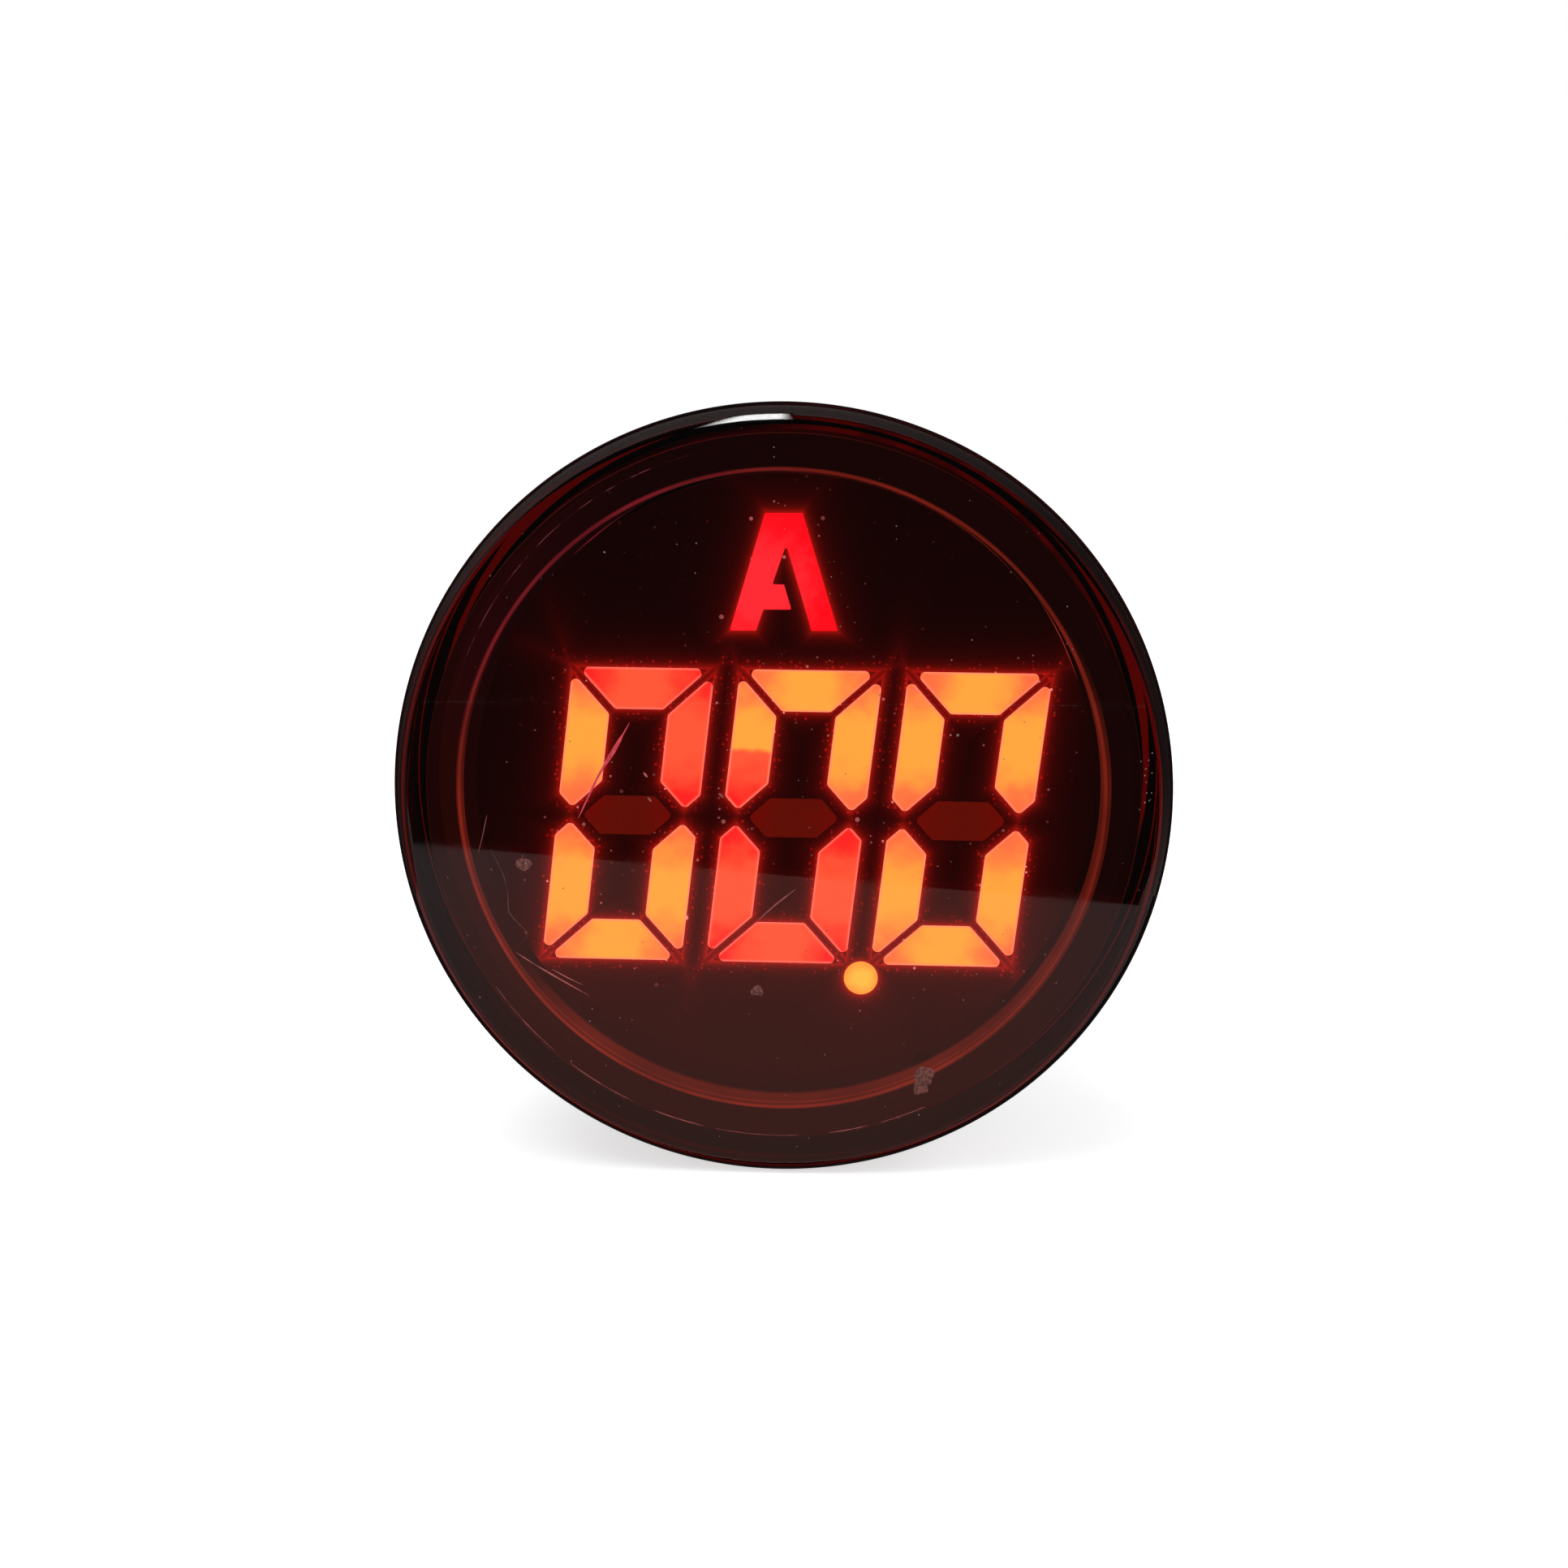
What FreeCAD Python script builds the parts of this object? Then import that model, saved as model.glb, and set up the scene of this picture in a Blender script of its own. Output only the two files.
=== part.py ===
import FreeCAD, Part
import math
import os

# Round digital panel ammeter for a 22 mm panel hole, in millimetres.
# The meter's axis is Y. The lens looks towards -Y, the front of the panel is the plane y = 0,
# the threaded barrel and the terminals are behind it, and +Z is up.

V = FreeCAD.Vector
ORIGIN = V(0, 0, 0)
BACKWARD = V(0, 1, 0)
SQRT2 = math.sqrt(2.0)
SQRT3 = math.sqrt(3.0)

# Threaded barrel; the thread's flanks stand at 60 degrees to each other
barrel_bore_radius = 9.3
barrel_wall = 1.6
barrel_flat_depth = 0.6
barrel_end_below_root = 0.05
thread_pitch = 1.5
thread_depth = 0.8
thread_crest_width = 0.1875
thread_lead_in = 0.2
thread_relief_width = 1.2
thread_relief_below_root = 0.1

# Panel seat: flange, gasket and the plain spigot that centres the meter in its hole
flange_inset = 0.6
flange_thickness = 2.0
flange_edge_radius = 0.4
gasket_inset = 0.2
gasket_thickness = 1.0
gasket_lip_thickness = 0.6
gasket_groove_depth = 0.3
gasket_clearance = 0.05
spigot_step = 0.1
spigot_length = 2.0
seat_clearance = 0.15

# Lens cap: one clear red moulding that snaps over the head
lens_height = 7.0
lens_window_thickness = 1.5
lens_skirt_wall = 1.1
lens_edge_radius = 0.65
lens_inner_corner_radius = 0.4
lens_clearance = 0.1
snap_bead_height = 0.2
snap_bead_width = 0.7
snap_bead_from_flange = 1.6
snap_clearance = 0.06

# Head of the main housing: a black cup around the display
cup_rim_width = 0.25
cup_shoulder_width = 1.05
cup_shoulder_drop = 1.9
window_to_rim_gap = 0.1
mask_recess = 1.9
ledge_thickness = 1.0

# Ring nut and its washer; the nut rests clear of the seat, with room for the panel between them
panel_room = 5.2
nut_wall = 2.05
nut_height = 5.0
nut_bore_clearance = 0.05
nut_grip_count = 16
nut_grip_radius = 0.75
nut_grip_depth = 0.55
nut_chamfer = 0.4
washer_inset = 0.1
washer_thickness = 1.0

# Display module
display_face_margin = 0.3
display_board_thickness = 1.0
display_board_clearance = 0.3
display_housing_clearance = 0.15
locating_pin_radius = 0.6
locating_pin_inset = 1.45
locating_pin_angles = (-90.0, 42.0, 138.0)
locating_pin_clearance = 0.05
led_chip_width = 0.9
led_chip_length = 0.5
led_chip_height = 0.4

# Seven-segment digits
digit_count = 3
digit_gap = 0.95
digit_row_x = 0.37
digit_row_z = -1.265
digit_row_tilt_deg = -0.6
digit_slant_deg = 6.3
digit_width = 5.45
digit_height = 11.45
segment_width = 1.6
middle_segment_width = 1.52
mitre_gap = 0.28
middle_gap = 0.5
tip_gap = 0.54
tip_inset = 0.55
segment_corner_radius = 0.2

# Decimal point
point_radius = 0.66
point_right_of_gap = 0.184
point_below_digits = 0.55

# Stencil letter A above the digits, joined at its top and at the left end of its bar
letter_height = 4.43
letter_above_digits = 1.49
letter_foot_span = 4.1
letter_top_width = 1.42
letter_foot_width = 1.0
letter_apex_height = 3.25
letter_bar_bottom = 0.8
letter_bar_width = 0.95
letter_bar_reach = 0.15
letter_bar_slope = 0.28
letter_apex_x = 0.09
letter_corner_radius = 0.06

# Link between the two boards
link_pin_count = 8
link_pin_width = 0.6
link_header_depth = 2.5
link_header_height = 3.2
link_header_margin = 1.0
link_header_bore_gap = 1.3
link_pin_on_board = 3.0

# Main board
main_board_thickness = 1.2
main_board_bore_gap = 0.2
main_board_front_gap = 0.1
main_board_rear_gap = 0.1
lead_radius = 0.35
lead_hole_clearance = 0.1
lead_stub = 0.8

# Dropper capacitor
dropper_length = 12.0
dropper_bore_gap = 0.9
dropper_lead_span = 10.0
dropper_edge_radius = 0.6
dropper_from_pins = 2.4

# Smoothing capacitor
smoothing_radius = 2.5
smoothing_length = 11.0
smoothing_from_pins = 2.9
smoothing_x = -4.0
smoothing_lead_span = 2.0
smoothing_lead_reach = 1.6
smoothing_groove_depth = 0.2
smoothing_groove_from_end = 1.5
capacitor_seat_gap = 0.1

# Axial resistors, one along each side of the board
resistor_radius = 1.2
resistor_length = 6.3
resistor_lead_span = 9.0
resistor_from_pins = 3.4
resistor_from_edge = 1.7
resistor_to_dropper_gap = 1.7
resistor_end_radius = 0.5

# Controller chip and rectifier
chip_body_width = 3.9
chip_body_height = 1.4
chip_leg_count = 8
chip_leg_pitch = 1.27
chip_leg_from_end = 0.505
chip_from_board_front = 2.4
chip_x = 4.2
rectifier_width = 4.0
rectifier_height = 2.4
rectifier_leg_count = 2
rectifier_leg_pitch = 2.5
rectifier_leg_from_end = 1.1
rectifier_from_chip = 2.1
rectifier_x = 3.6
leg_width = 0.4
leg_thickness = 0.2
leg_foot = 0.7
leg_standoff = 0.15
leg_shoulder_share = 0.5

# Terminal block at the rear end
block_rim_width = 0.6
block_plug_depth = 3.0
block_plug_clearance = 0.05
block_shoulder = 3.0
block_edge_chamfer = 0.4
barrier_thickness = 1.2
barrier_height = 5.0
block_tab_clearance = 0.05
screw_hole_floor = 0.5

# Screw terminals
plate_half_width = 3.1
plate_thickness = 1.0
plate_rim_gap = 0.2
plate_barrier_gap = 0.4
tab_width = 2.0
tab_thickness = 0.8
tab_on_board = 3.0
tab_from_parts = 2.2
clamp_inset = 0.4
clamp_thickness = 0.8
clamp_corner_radius = 0.5
screw_shank_radius = 1.45
screw_tip_gap = 0.5
screw_hole_clearance = 0.05
screw_clamp_clearance = 0.15
screw_block_clearance = 0.2
screw_head_inset = 0.1
screw_head_height = 2.0
screw_head_edge_radius = 0.5
screw_recess_width = 0.8
screw_recess_length = 3.4
screw_recess_depth = 1.1
screw_tip_chamfer = 0.3

# How far a cutting solid reaches past the face it opens, the share of its depth by which the thread's
# groove does, and the share of a wall that an edge may take
cut_overshoot = 1.0
thread_cut_share = 0.09
edge_share_of_wall = 0.9


# Outlines on the display's face

def segment_outlines():
    """The seven segments of one upright digit about its centre, as named lists of (x, z) points."""
    half_width = digit_width / 2
    half_height = digit_height / 2
    mitre = mitre_gap / SQRT2
    tip_z = tip_gap / 2
    bar = [
        (-half_width + mitre, half_height),
        (half_width - mitre, half_height),
        (half_width - segment_width - mitre, half_height - segment_width),
        (-half_width + segment_width + mitre, half_height - segment_width),
    ]
    post = [
        (-half_width, half_height - mitre),
        (-half_width + segment_width, half_height - segment_width - mitre),
        (-half_width + segment_width, tip_z + segment_width - tip_inset),
        (-half_width + tip_inset, tip_z),
        (-half_width, tip_z + tip_inset),
    ]
    half_middle = middle_segment_width / 2
    middle_tip = half_width - tip_inset + tip_z - middle_gap * SQRT2
    middle_shoulder = middle_tip - half_middle
    middle = [
        (-middle_tip, 0),
        (-middle_shoulder, half_middle),
        (middle_shoulder, half_middle),
        (middle_tip, 0),
        (middle_shoulder, -half_middle),
        (-middle_shoulder, -half_middle),
    ]
    return {
        "a": bar,
        "b": [(-x, z) for x, z in post],
        "c": [(-x, -z) for x, z in post],
        "d": [(x, -z) for x, z in bar],
        "e": [(x, -z) for x, z in post],
        "f": post,
        "g": middle,
    }


def on_row(x, z):
    """A point beside the middle of the digit row, turned with the row and moved to its place."""
    tilt = math.radians(digit_row_tilt_deg)
    row_x = digit_row_x + x * math.cos(tilt) - z * math.sin(tilt)
    row_z = digit_row_z + x * math.sin(tilt) + z * math.cos(tilt)
    return row_x, row_z


def placed_segments():
    """Every segment's outline at its place in the display, by node name."""
    slant = math.tan(math.radians(digit_slant_deg))
    placed = {}
    for digit in range(digit_count):
        centre_x = (digit - (digit_count - 1) / 2) * (digit_width + digit_gap)
        for letter, outline in segment_outlines().items():
            name = "digit_%d_segment_%s" % (digit + 1, letter)
            placed[name] = [on_row(centre_x + x + z * slant, z) for x, z in outline]
    return placed


def letter_base_z():
    """The height of the letter's feet above the axis."""
    return digit_row_z + digit_height / 2 + letter_above_digits


def letter_outline():
    """The stencil letter A, clockwise from its top left corner."""
    base = letter_base_z()
    top = base + letter_height
    half_foot = letter_foot_span / 2
    half_top = letter_top_width / 2
    apex_z = base + letter_apex_height
    bar_low = base + letter_bar_bottom
    bar_high = bar_low + letter_bar_width
    inner_foot = half_foot - letter_foot_width
    lean = (inner_foot + letter_apex_x) / letter_apex_height
    return [
        (-half_top, top),
        (half_top, top),
        (half_foot, base),
        (inner_foot, base),
        (letter_apex_x, apex_z),
        (-inner_foot + lean * (bar_high - base), bar_high),
        (letter_bar_reach - letter_bar_slope / 2, bar_high),
        (letter_bar_reach + letter_bar_slope / 2, bar_low),
        (-inner_foot + lean * (bar_low - base), bar_low),
        (-inner_foot, base),
        (-half_foot, base),
    ]


def point_centre():
    """Where the decimal point sits, below the gap after the middle digit and slanted with it."""
    z = -digit_height / 2 - point_below_digits
    x = (digit_width + digit_gap) / 2 + point_right_of_gap
    return on_row(x + z * math.tan(math.radians(digit_slant_deg)), z)


def display_reach():
    """How far the outermost corner of the digits, letter and point lies from the axis."""
    corners = [corner for outline in placed_segments().values() for corner in outline]
    corners += letter_outline()
    return max([math.hypot(x, z) for x, z in corners] + [math.hypot(*point_centre()) + point_radius])


# Radii of the head, from the display outwards
display_housing_radius = display_reach() + display_face_margin
cup_inner_radius = display_housing_radius + display_housing_clearance
display_board_radius = cup_inner_radius - display_board_clearance
locating_pin_circle = display_housing_radius - locating_pin_inset
cup_outer_radius = cup_inner_radius + cup_rim_width + cup_shoulder_width
lens_inner_radius = cup_outer_radius + lens_clearance
lens_radius = lens_inner_radius + lens_skirt_wall
flange_radius = lens_radius - flange_inset
gasket_radius = flange_radius - gasket_inset

# Radii of the barrel, from its bore outwards
thread_radius = barrel_bore_radius + barrel_wall
thread_root_radius = thread_radius - thread_depth
thread_relief_radius = thread_root_radius - thread_relief_below_root
barrel_end_radius = thread_root_radius - barrel_end_below_root
barrel_flat_distance = thread_radius - barrel_flat_depth
spigot_radius = thread_radius + spigot_step
gasket_groove_radius = spigot_radius - gasket_groove_depth
seat_inner_radius = spigot_radius + seat_clearance
nut_bore_radius = thread_radius + nut_bore_clearance
nut_radius = nut_bore_radius + nut_wall
washer_radius = nut_radius - washer_inset
block_plug_radius = barrel_bore_radius - block_plug_clearance
block_radius = barrel_bore_radius + block_rim_width

# Stations along the axis, from the seat forward
flange_rear_y = -gasket_thickness
flange_front_y = flange_rear_y - flange_thickness
lens_face_y = flange_front_y - lens_height
window_rear_y = lens_face_y + lens_window_thickness
rim_y = window_rear_y + window_to_rim_gap
mask_y = rim_y + mask_recess
bead_y = flange_front_y - snap_bead_from_flange
ledge_y = flange_rear_y - ledge_thickness
display_board_front_y = ledge_y - display_board_thickness
chip_face_y = display_board_front_y - led_chip_height

# Stations of the main board and of what stands on it
board_front_y = ledge_y + link_header_depth + main_board_front_gap
link_pin_rear_y = board_front_y + link_pin_on_board
dropper_front_y = link_pin_rear_y + dropper_from_pins
dropper_rear_y = dropper_front_y + dropper_length
smoothing_front_y = link_pin_rear_y + smoothing_from_pins
smoothing_rear_y = smoothing_front_y + smoothing_length
smoothing_lead_y = smoothing_rear_y + smoothing_lead_reach
resistor_front_y = link_pin_rear_y + resistor_from_pins
resistor_rear_y = resistor_front_y + resistor_lead_span
chip_front_y = board_front_y + chip_from_board_front
chip_body_length = (chip_leg_count - 1) * chip_leg_pitch + 2 * chip_leg_from_end
rectifier_front_y = chip_front_y + chip_body_length + rectifier_from_chip
rectifier_length = (rectifier_leg_count - 1) * rectifier_leg_pitch + 2 * rectifier_leg_from_end
rectifier_rear_y = rectifier_front_y + rectifier_length
parts_rear_y = max(dropper_rear_y, smoothing_lead_y + lead_radius, resistor_rear_y, rectifier_rear_y)
board_rear_y = parts_rear_y + tab_from_parts + tab_on_board

# Stations from the seat to the rear end
washer_front_y = panel_room
nut_front_y = washer_front_y + washer_thickness
nut_rear_y = nut_front_y + nut_height
thread_front_y = spigot_length + thread_relief_width
block_front_y = board_rear_y + main_board_rear_gap
barrel_rear_y = block_front_y + block_plug_depth
block_face_y = barrel_rear_y + block_shoulder
plate_rear_y = block_face_y + plate_thickness
clamp_rear_y = plate_rear_y + clamp_thickness
head_rear_y = clamp_rear_y + screw_head_height
barrier_rear_y = block_face_y + barrier_height
screw_tip_y = block_front_y + screw_hole_floor + screw_tip_gap

# Widths and heights inside the barrel
main_board_width = 2 * (barrel_bore_radius - main_board_bore_gap)
link_pin_span = 2 * (barrel_bore_radius - link_header_bore_gap - link_header_margin)
link_pin_pitch = link_pin_span / (link_pin_count - 1)
resistor_x = main_board_width / 2 - resistor_from_edge
dropper_width = 2 * (resistor_x - resistor_radius - resistor_to_dropper_gap)
board_top_z = main_board_thickness / 2
board_bottom_z = -main_board_thickness / 2
dropper_top_z = math.sqrt((barrel_bore_radius - dropper_bore_gap) ** 2 - (dropper_width / 2) ** 2)
lead_end_z = board_bottom_z - lead_stub

# Screw terminals in their four corners
terminal_offset = barrier_thickness / 2 + plate_barrier_gap + plate_half_width
clamp_size = 2 * (plate_half_width - clamp_inset)
screw_head_radius = clamp_size / 2 - screw_head_inset


# Basic solids

def turned(profile):
    """A solid of revolution about Y, from a closed profile of (radius, y) points."""
    points = [V(r, y, 0) for r, y in profile]
    face = Part.Face(Part.makePolygon(points + points[:1]))
    return face.revolve(ORIGIN, BACKWARD, 360)


def rod(radius, x, z, y_start, y_end):
    """A cylinder along Y."""
    return Part.makeCylinder(radius, y_end - y_start, V(x, y_start, z), BACKWARD)


def block(x_low, x_high, y_low, y_high, z_low, z_high):
    """A box from its lowest to its highest corner."""
    return Part.makeBox(x_high - x_low, y_high - y_low, z_high - z_low, V(x_low, y_low, z_low))


def rounded_wire(points, radius, y):
    """A closed wire in the plane y through (x, z) points, with an arc of one radius at each corner."""
    edges = []
    starts = []
    ends = []
    count = len(points)
    for i in range(count):
        corner = V(points[i][0], y, points[i][1])
        before = V(points[i - 1][0], y, points[i - 1][1]) - corner
        after = V(points[(i + 1) % count][0], y, points[(i + 1) % count][1]) - corner
        half = before.getAngle(after) / 2
        before.normalize()
        after.normalize()
        setback = radius / math.tan(half)
        start = corner + before * setback
        end = corner + after * setback
        middle = before + after
        middle.normalize()
        top = corner + middle * (radius / math.sin(half) - radius)
        edges.append(Part.Arc(start, top, end).toShape())
        starts.append(start)
        ends.append(end)
    for i in range(count):
        edges.append(Part.LineSegment(ends[i], starts[(i + 1) % count]).toShape())
    return Part.Wire(Part.__sortEdges__(edges))


def prism(points, radius, y_start, y_end):
    """A straight prism along Y with rounded corners."""
    face = Part.Face(rounded_wire(points, radius, y_start))
    return face.extrude(V(0, y_end - y_start, 0))


def bent_lead(points):
    """A component lead: straight round wire between points, with a ball at each bend."""
    lead = None
    for start, end in zip(points, points[1:]):
        run = end - start
        piece = Part.makeCylinder(lead_radius, run.Length, start, run)
        lead = piece if lead is None else lead.fuse(piece)
    for bend in points[1:-1]:
        lead = lead.fuse(Part.makeSphere(lead_radius, bend))
    return lead


def edges_at(shape, y):
    """The edges of a shape that lie wholly in the plane y."""
    tolerance = 1e-6
    return [
        edge
        for edge in shape.Edges
        if abs(edge.BoundBox.YMin - y) < tolerance and abs(edge.BoundBox.YMax - y) < tolerance
    ]


# Lens and housing

def make_lens_cap():
    """Flat clear window with a rounded shoulder, and a skirt whose inner bead snaps onto the head."""
    half = snap_bead_width / 2
    cap = turned([
        (0, lens_face_y),
        (lens_radius, lens_face_y),
        (lens_radius, flange_front_y),
        (lens_inner_radius, flange_front_y),
        (lens_inner_radius, bead_y + half),
        (lens_inner_radius - snap_bead_height, bead_y),
        (lens_inner_radius, bead_y - half),
        (lens_inner_radius, window_rear_y),
        (0, window_rear_y),
    ])
    outer = [e for e in edges_at(cap, lens_face_y) if e.BoundBox.XMax > lens_inner_radius]
    cap = cap.makeFillet(min(lens_edge_radius, lens_skirt_wall * edge_share_of_wall), outer)
    inner = edges_at(cap, window_rear_y)
    return cap.makeFillet(min(lens_inner_corner_radius, cup_shoulder_drop / 2), inner)


def thread_groove():
    """The solid that cuts the barrel's thread: the groove's section, carried along a right-hand helix
    from just in front of the thread's first crest to past the rear end."""
    root_half = (thread_pitch - thread_crest_width) / 2 - thread_depth / SQRT3
    outer_radius = thread_radius + thread_depth * thread_cut_share
    outer_half = root_half + (outer_radius - thread_root_radius) / SQRT3
    section = [
        V(thread_root_radius, 0, -root_half),
        V(outer_radius, 0, -outer_half),
        V(outer_radius, 0, outer_half),
        V(thread_root_radius, 0, root_half),
    ]
    start_y = thread_front_y - thread_lead_in
    length = barrel_rear_y + thread_pitch / 2 - start_y
    helix = Part.makeLongHelix(thread_pitch, length, thread_root_radius)
    groove = Part.Wire(helix.Edges).makePipeShell([Part.makePolygon(section + section[:1])], True, True)
    groove.rotate(ORIGIN, V(1, 0, 0), -90)
    groove.translate(V(0, start_y, 0))
    return groove


def make_main_housing():
    """One black moulding: head cup, flange, spigot, thread relief and threaded barrel with two flats."""
    half = snap_bead_width / 2 + snap_clearance
    groove_radius = cup_outer_radius - snap_bead_height
    body = turned([
        (cup_inner_radius, rim_y),
        (cup_inner_radius + cup_rim_width, rim_y),
        (cup_outer_radius, rim_y + cup_shoulder_drop),
        (cup_outer_radius, bead_y - half),
        (groove_radius, bead_y),
        (cup_outer_radius, bead_y + half),
        (cup_outer_radius, flange_front_y),
        (flange_radius, flange_front_y),
        (flange_radius, flange_rear_y),
        (gasket_groove_radius, flange_rear_y),
        (gasket_groove_radius, 0),
        (spigot_radius, 0),
        (spigot_radius, spigot_length),
        (thread_relief_radius, spigot_length),
        (thread_relief_radius, thread_front_y),
        (thread_radius, thread_front_y + thread_radius - thread_relief_radius),
        (thread_radius, barrel_rear_y - thread_radius + barrel_end_radius),
        (barrel_end_radius, barrel_rear_y),
        (barrel_bore_radius, barrel_rear_y),
        (barrel_bore_radius, ledge_y),
        (cup_inner_radius, ledge_y),
    ])
    rim = [e for e in edges_at(body, flange_rear_y) if e.BoundBox.XMax > spigot_radius + seat_clearance]
    body = body.makeFillet(min(flange_edge_radius, flange_thickness / 2 * edge_share_of_wall), rim)
    reach = thread_radius + cut_overshoot
    end_y = barrel_rear_y + cut_overshoot
    for side in (-1, 1):
        x_low = min(side * barrel_flat_distance, side * reach)
        x_high = max(side * barrel_flat_distance, side * reach)
        body = body.cut(block(x_low, x_high, thread_front_y, end_y, -reach, reach))
    return body.cut(thread_groove()).Solids[0]


def make_flange_gasket():
    """Flat rubber ring behind the flange; its inner lip sits in the groove in front of the spigot."""
    lip_radius = gasket_groove_radius + gasket_clearance
    lip_rear_y = flange_rear_y + gasket_lip_thickness
    return turned([
        (lip_radius, flange_rear_y),
        (gasket_radius, flange_rear_y),
        (gasket_radius, 0),
        (seat_inner_radius, 0),
        (seat_inner_radius, lip_rear_y),
        (lip_radius, lip_rear_y),
    ])


# Mounting nut

def make_nut_washer():
    """Flat ring that the nut pushes against the back of the panel."""
    return turned([
        (seat_inner_radius, washer_front_y),
        (washer_radius, washer_front_y),
        (washer_radius, nut_front_y),
        (seat_inner_radius, nut_front_y),
    ])


def make_mounting_nut():
    """Round nut with grip grooves around its edge. Its thread is as fine as the barrel's."""
    nut = turned([
        (nut_bore_radius, nut_front_y),
        (nut_radius - nut_chamfer, nut_front_y),
        (nut_radius, nut_front_y + nut_chamfer),
        (nut_radius, nut_rear_y - nut_chamfer),
        (nut_radius - nut_chamfer, nut_rear_y),
        (nut_bore_radius, nut_rear_y),
    ])
    groove_circle = nut_radius + nut_grip_radius - nut_grip_depth
    for i in range(nut_grip_count):
        angle = 2 * math.pi * (i + 0.5) / nut_grip_count
        x = groove_circle * math.cos(angle)
        z = groove_circle * math.sin(angle)
        nut = nut.cut(rod(nut_grip_radius, x, z, nut_front_y - cut_overshoot, nut_rear_y + cut_overshoot))
    return nut


# Display

def make_light_pieces():
    """The clear resin pieces that fill the display's windows, flush with its black face."""
    pieces = {}
    for name, outline in placed_segments().items():
        pieces[name] = prism(outline, segment_corner_radius, mask_y, chip_face_y)
    pieces["amp_symbol"] = prism(letter_outline(), letter_corner_radius, mask_y, chip_face_y)
    x, z = point_centre()
    pieces["decimal_point"] = rod(point_radius, x, z, mask_y, chip_face_y)
    return pieces


def locating_pins():
    """Centres of the pins that hold the display housing on its board."""
    for angle in locating_pin_angles:
        turn = math.radians(angle)
        yield locating_pin_circle * math.cos(turn), locating_pin_circle * math.sin(turn)


def make_display_housing():
    """Black block with a window for each light piece and short pins on its back."""
    housing = rod(display_housing_radius, 0, 0, mask_y, display_board_front_y)
    wells = []
    for outline in placed_segments().values():
        wells.append(prism(outline, segment_corner_radius, mask_y, display_board_front_y))
    wells.append(prism(letter_outline(), letter_corner_radius, mask_y, display_board_front_y))
    x, z = point_centre()
    wells.append(rod(point_radius, x, z, mask_y, display_board_front_y))
    housing = housing.cut(wells)
    pin_end_y = ledge_y - locating_pin_clearance
    for x, z in locating_pins():
        housing = housing.fuse(rod(locating_pin_radius, x, z, display_board_front_y, pin_end_y))
    return housing.removeSplitter()


def make_led_chips(lights):
    """One light chip behind each light piece, as a group of separate solids on the display board."""
    letter_cap_z = letter_base_z() + (letter_height + letter_apex_height) / 2
    chips = []
    for name, light in lights.items():
        x = light.CenterOfMass.x
        z = letter_cap_z if name == "amp_symbol" else light.CenterOfMass.z
        half_width = led_chip_width / 2
        half_length = led_chip_length / 2
        x_span = (x - half_width, x + half_width)
        chips.append(block(*x_span, chip_face_y, display_board_front_y, z - half_length, z + half_length))
    return Part.makeCompound(chips)


# Boards and the link between them

def link_pin_places():
    """The x of each link pin."""
    for i in range(link_pin_count):
        yield (i - (link_pin_count - 1) / 2) * link_pin_pitch


def link_pin(x, y_start, y_end):
    """One square pin, lying on top of the main board."""
    half = link_pin_width / 2
    return block(x - half, x + half, y_start, y_end, board_top_z, board_top_z + link_pin_width)


def make_display_board():
    """Round board behind the display, with holes for its pins and for the link pins."""
    board = rod(display_board_radius, 0, 0, display_board_front_y, ledge_y)
    hole_radius = locating_pin_radius + locating_pin_clearance
    for x, z in locating_pins():
        hole = rod(hole_radius, x, z, display_board_front_y - cut_overshoot, ledge_y + cut_overshoot)
        board = board.cut(hole)
    for x in link_pin_places():
        board = board.cut(link_pin(x, display_board_front_y, ledge_y))
    return board


def make_link_header():
    """Plastic strip that spaces the link pins, against the back of the display board."""
    half_width = link_pin_span / 2 + link_header_margin
    middle_z = board_top_z + link_pin_width / 2
    rear_y = ledge_y + link_header_depth
    low_z = middle_z - link_header_height / 2
    strip = block(-half_width, half_width, ledge_y, rear_y, low_z, low_z + link_header_height)
    for x in link_pin_places():
        strip = strip.cut(link_pin(x, ledge_y, rear_y))
    return strip


def make_link_pins():
    """The pins from the display board onto the main board, as a group of separate solids."""
    pins = [link_pin(x, display_board_front_y, link_pin_rear_y) for x in link_pin_places()]
    return Part.makeCompound(pins)


def dropper_leads():
    """The two places (x, y) where the dropper capacitor's leads go through the board."""
    middle_y = dropper_front_y + dropper_length / 2
    return [(0, middle_y - dropper_lead_span / 2), (0, middle_y + dropper_lead_span / 2)]


def resistor_leads(x):
    """The two places (x, y) where a resistor's leads go through the board."""
    return [(x, resistor_front_y), (x, resistor_rear_y)]


def smoothing_leads():
    """The two places (x, y) where the smoothing capacitor's leads go through the board."""
    half = smoothing_lead_span / 2
    return [(smoothing_x - half, smoothing_lead_y), (smoothing_x + half, smoothing_lead_y)]


def make_main_board():
    """Long board along the barrel, with a hole for each lead."""
    half = main_board_width / 2
    board = block(-half, half, board_front_y, board_rear_y, board_bottom_z, board_top_z)
    places = dropper_leads() + smoothing_leads() + resistor_leads(resistor_x) + resistor_leads(-resistor_x)
    radius = lead_radius + lead_hole_clearance
    for x, y in places:
        base = V(x, y, board_bottom_z - cut_overshoot)
        board = board.cut(Part.makeCylinder(radius, main_board_thickness + 2 * cut_overshoot, base))
    return board


# Parts on the main board

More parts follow.
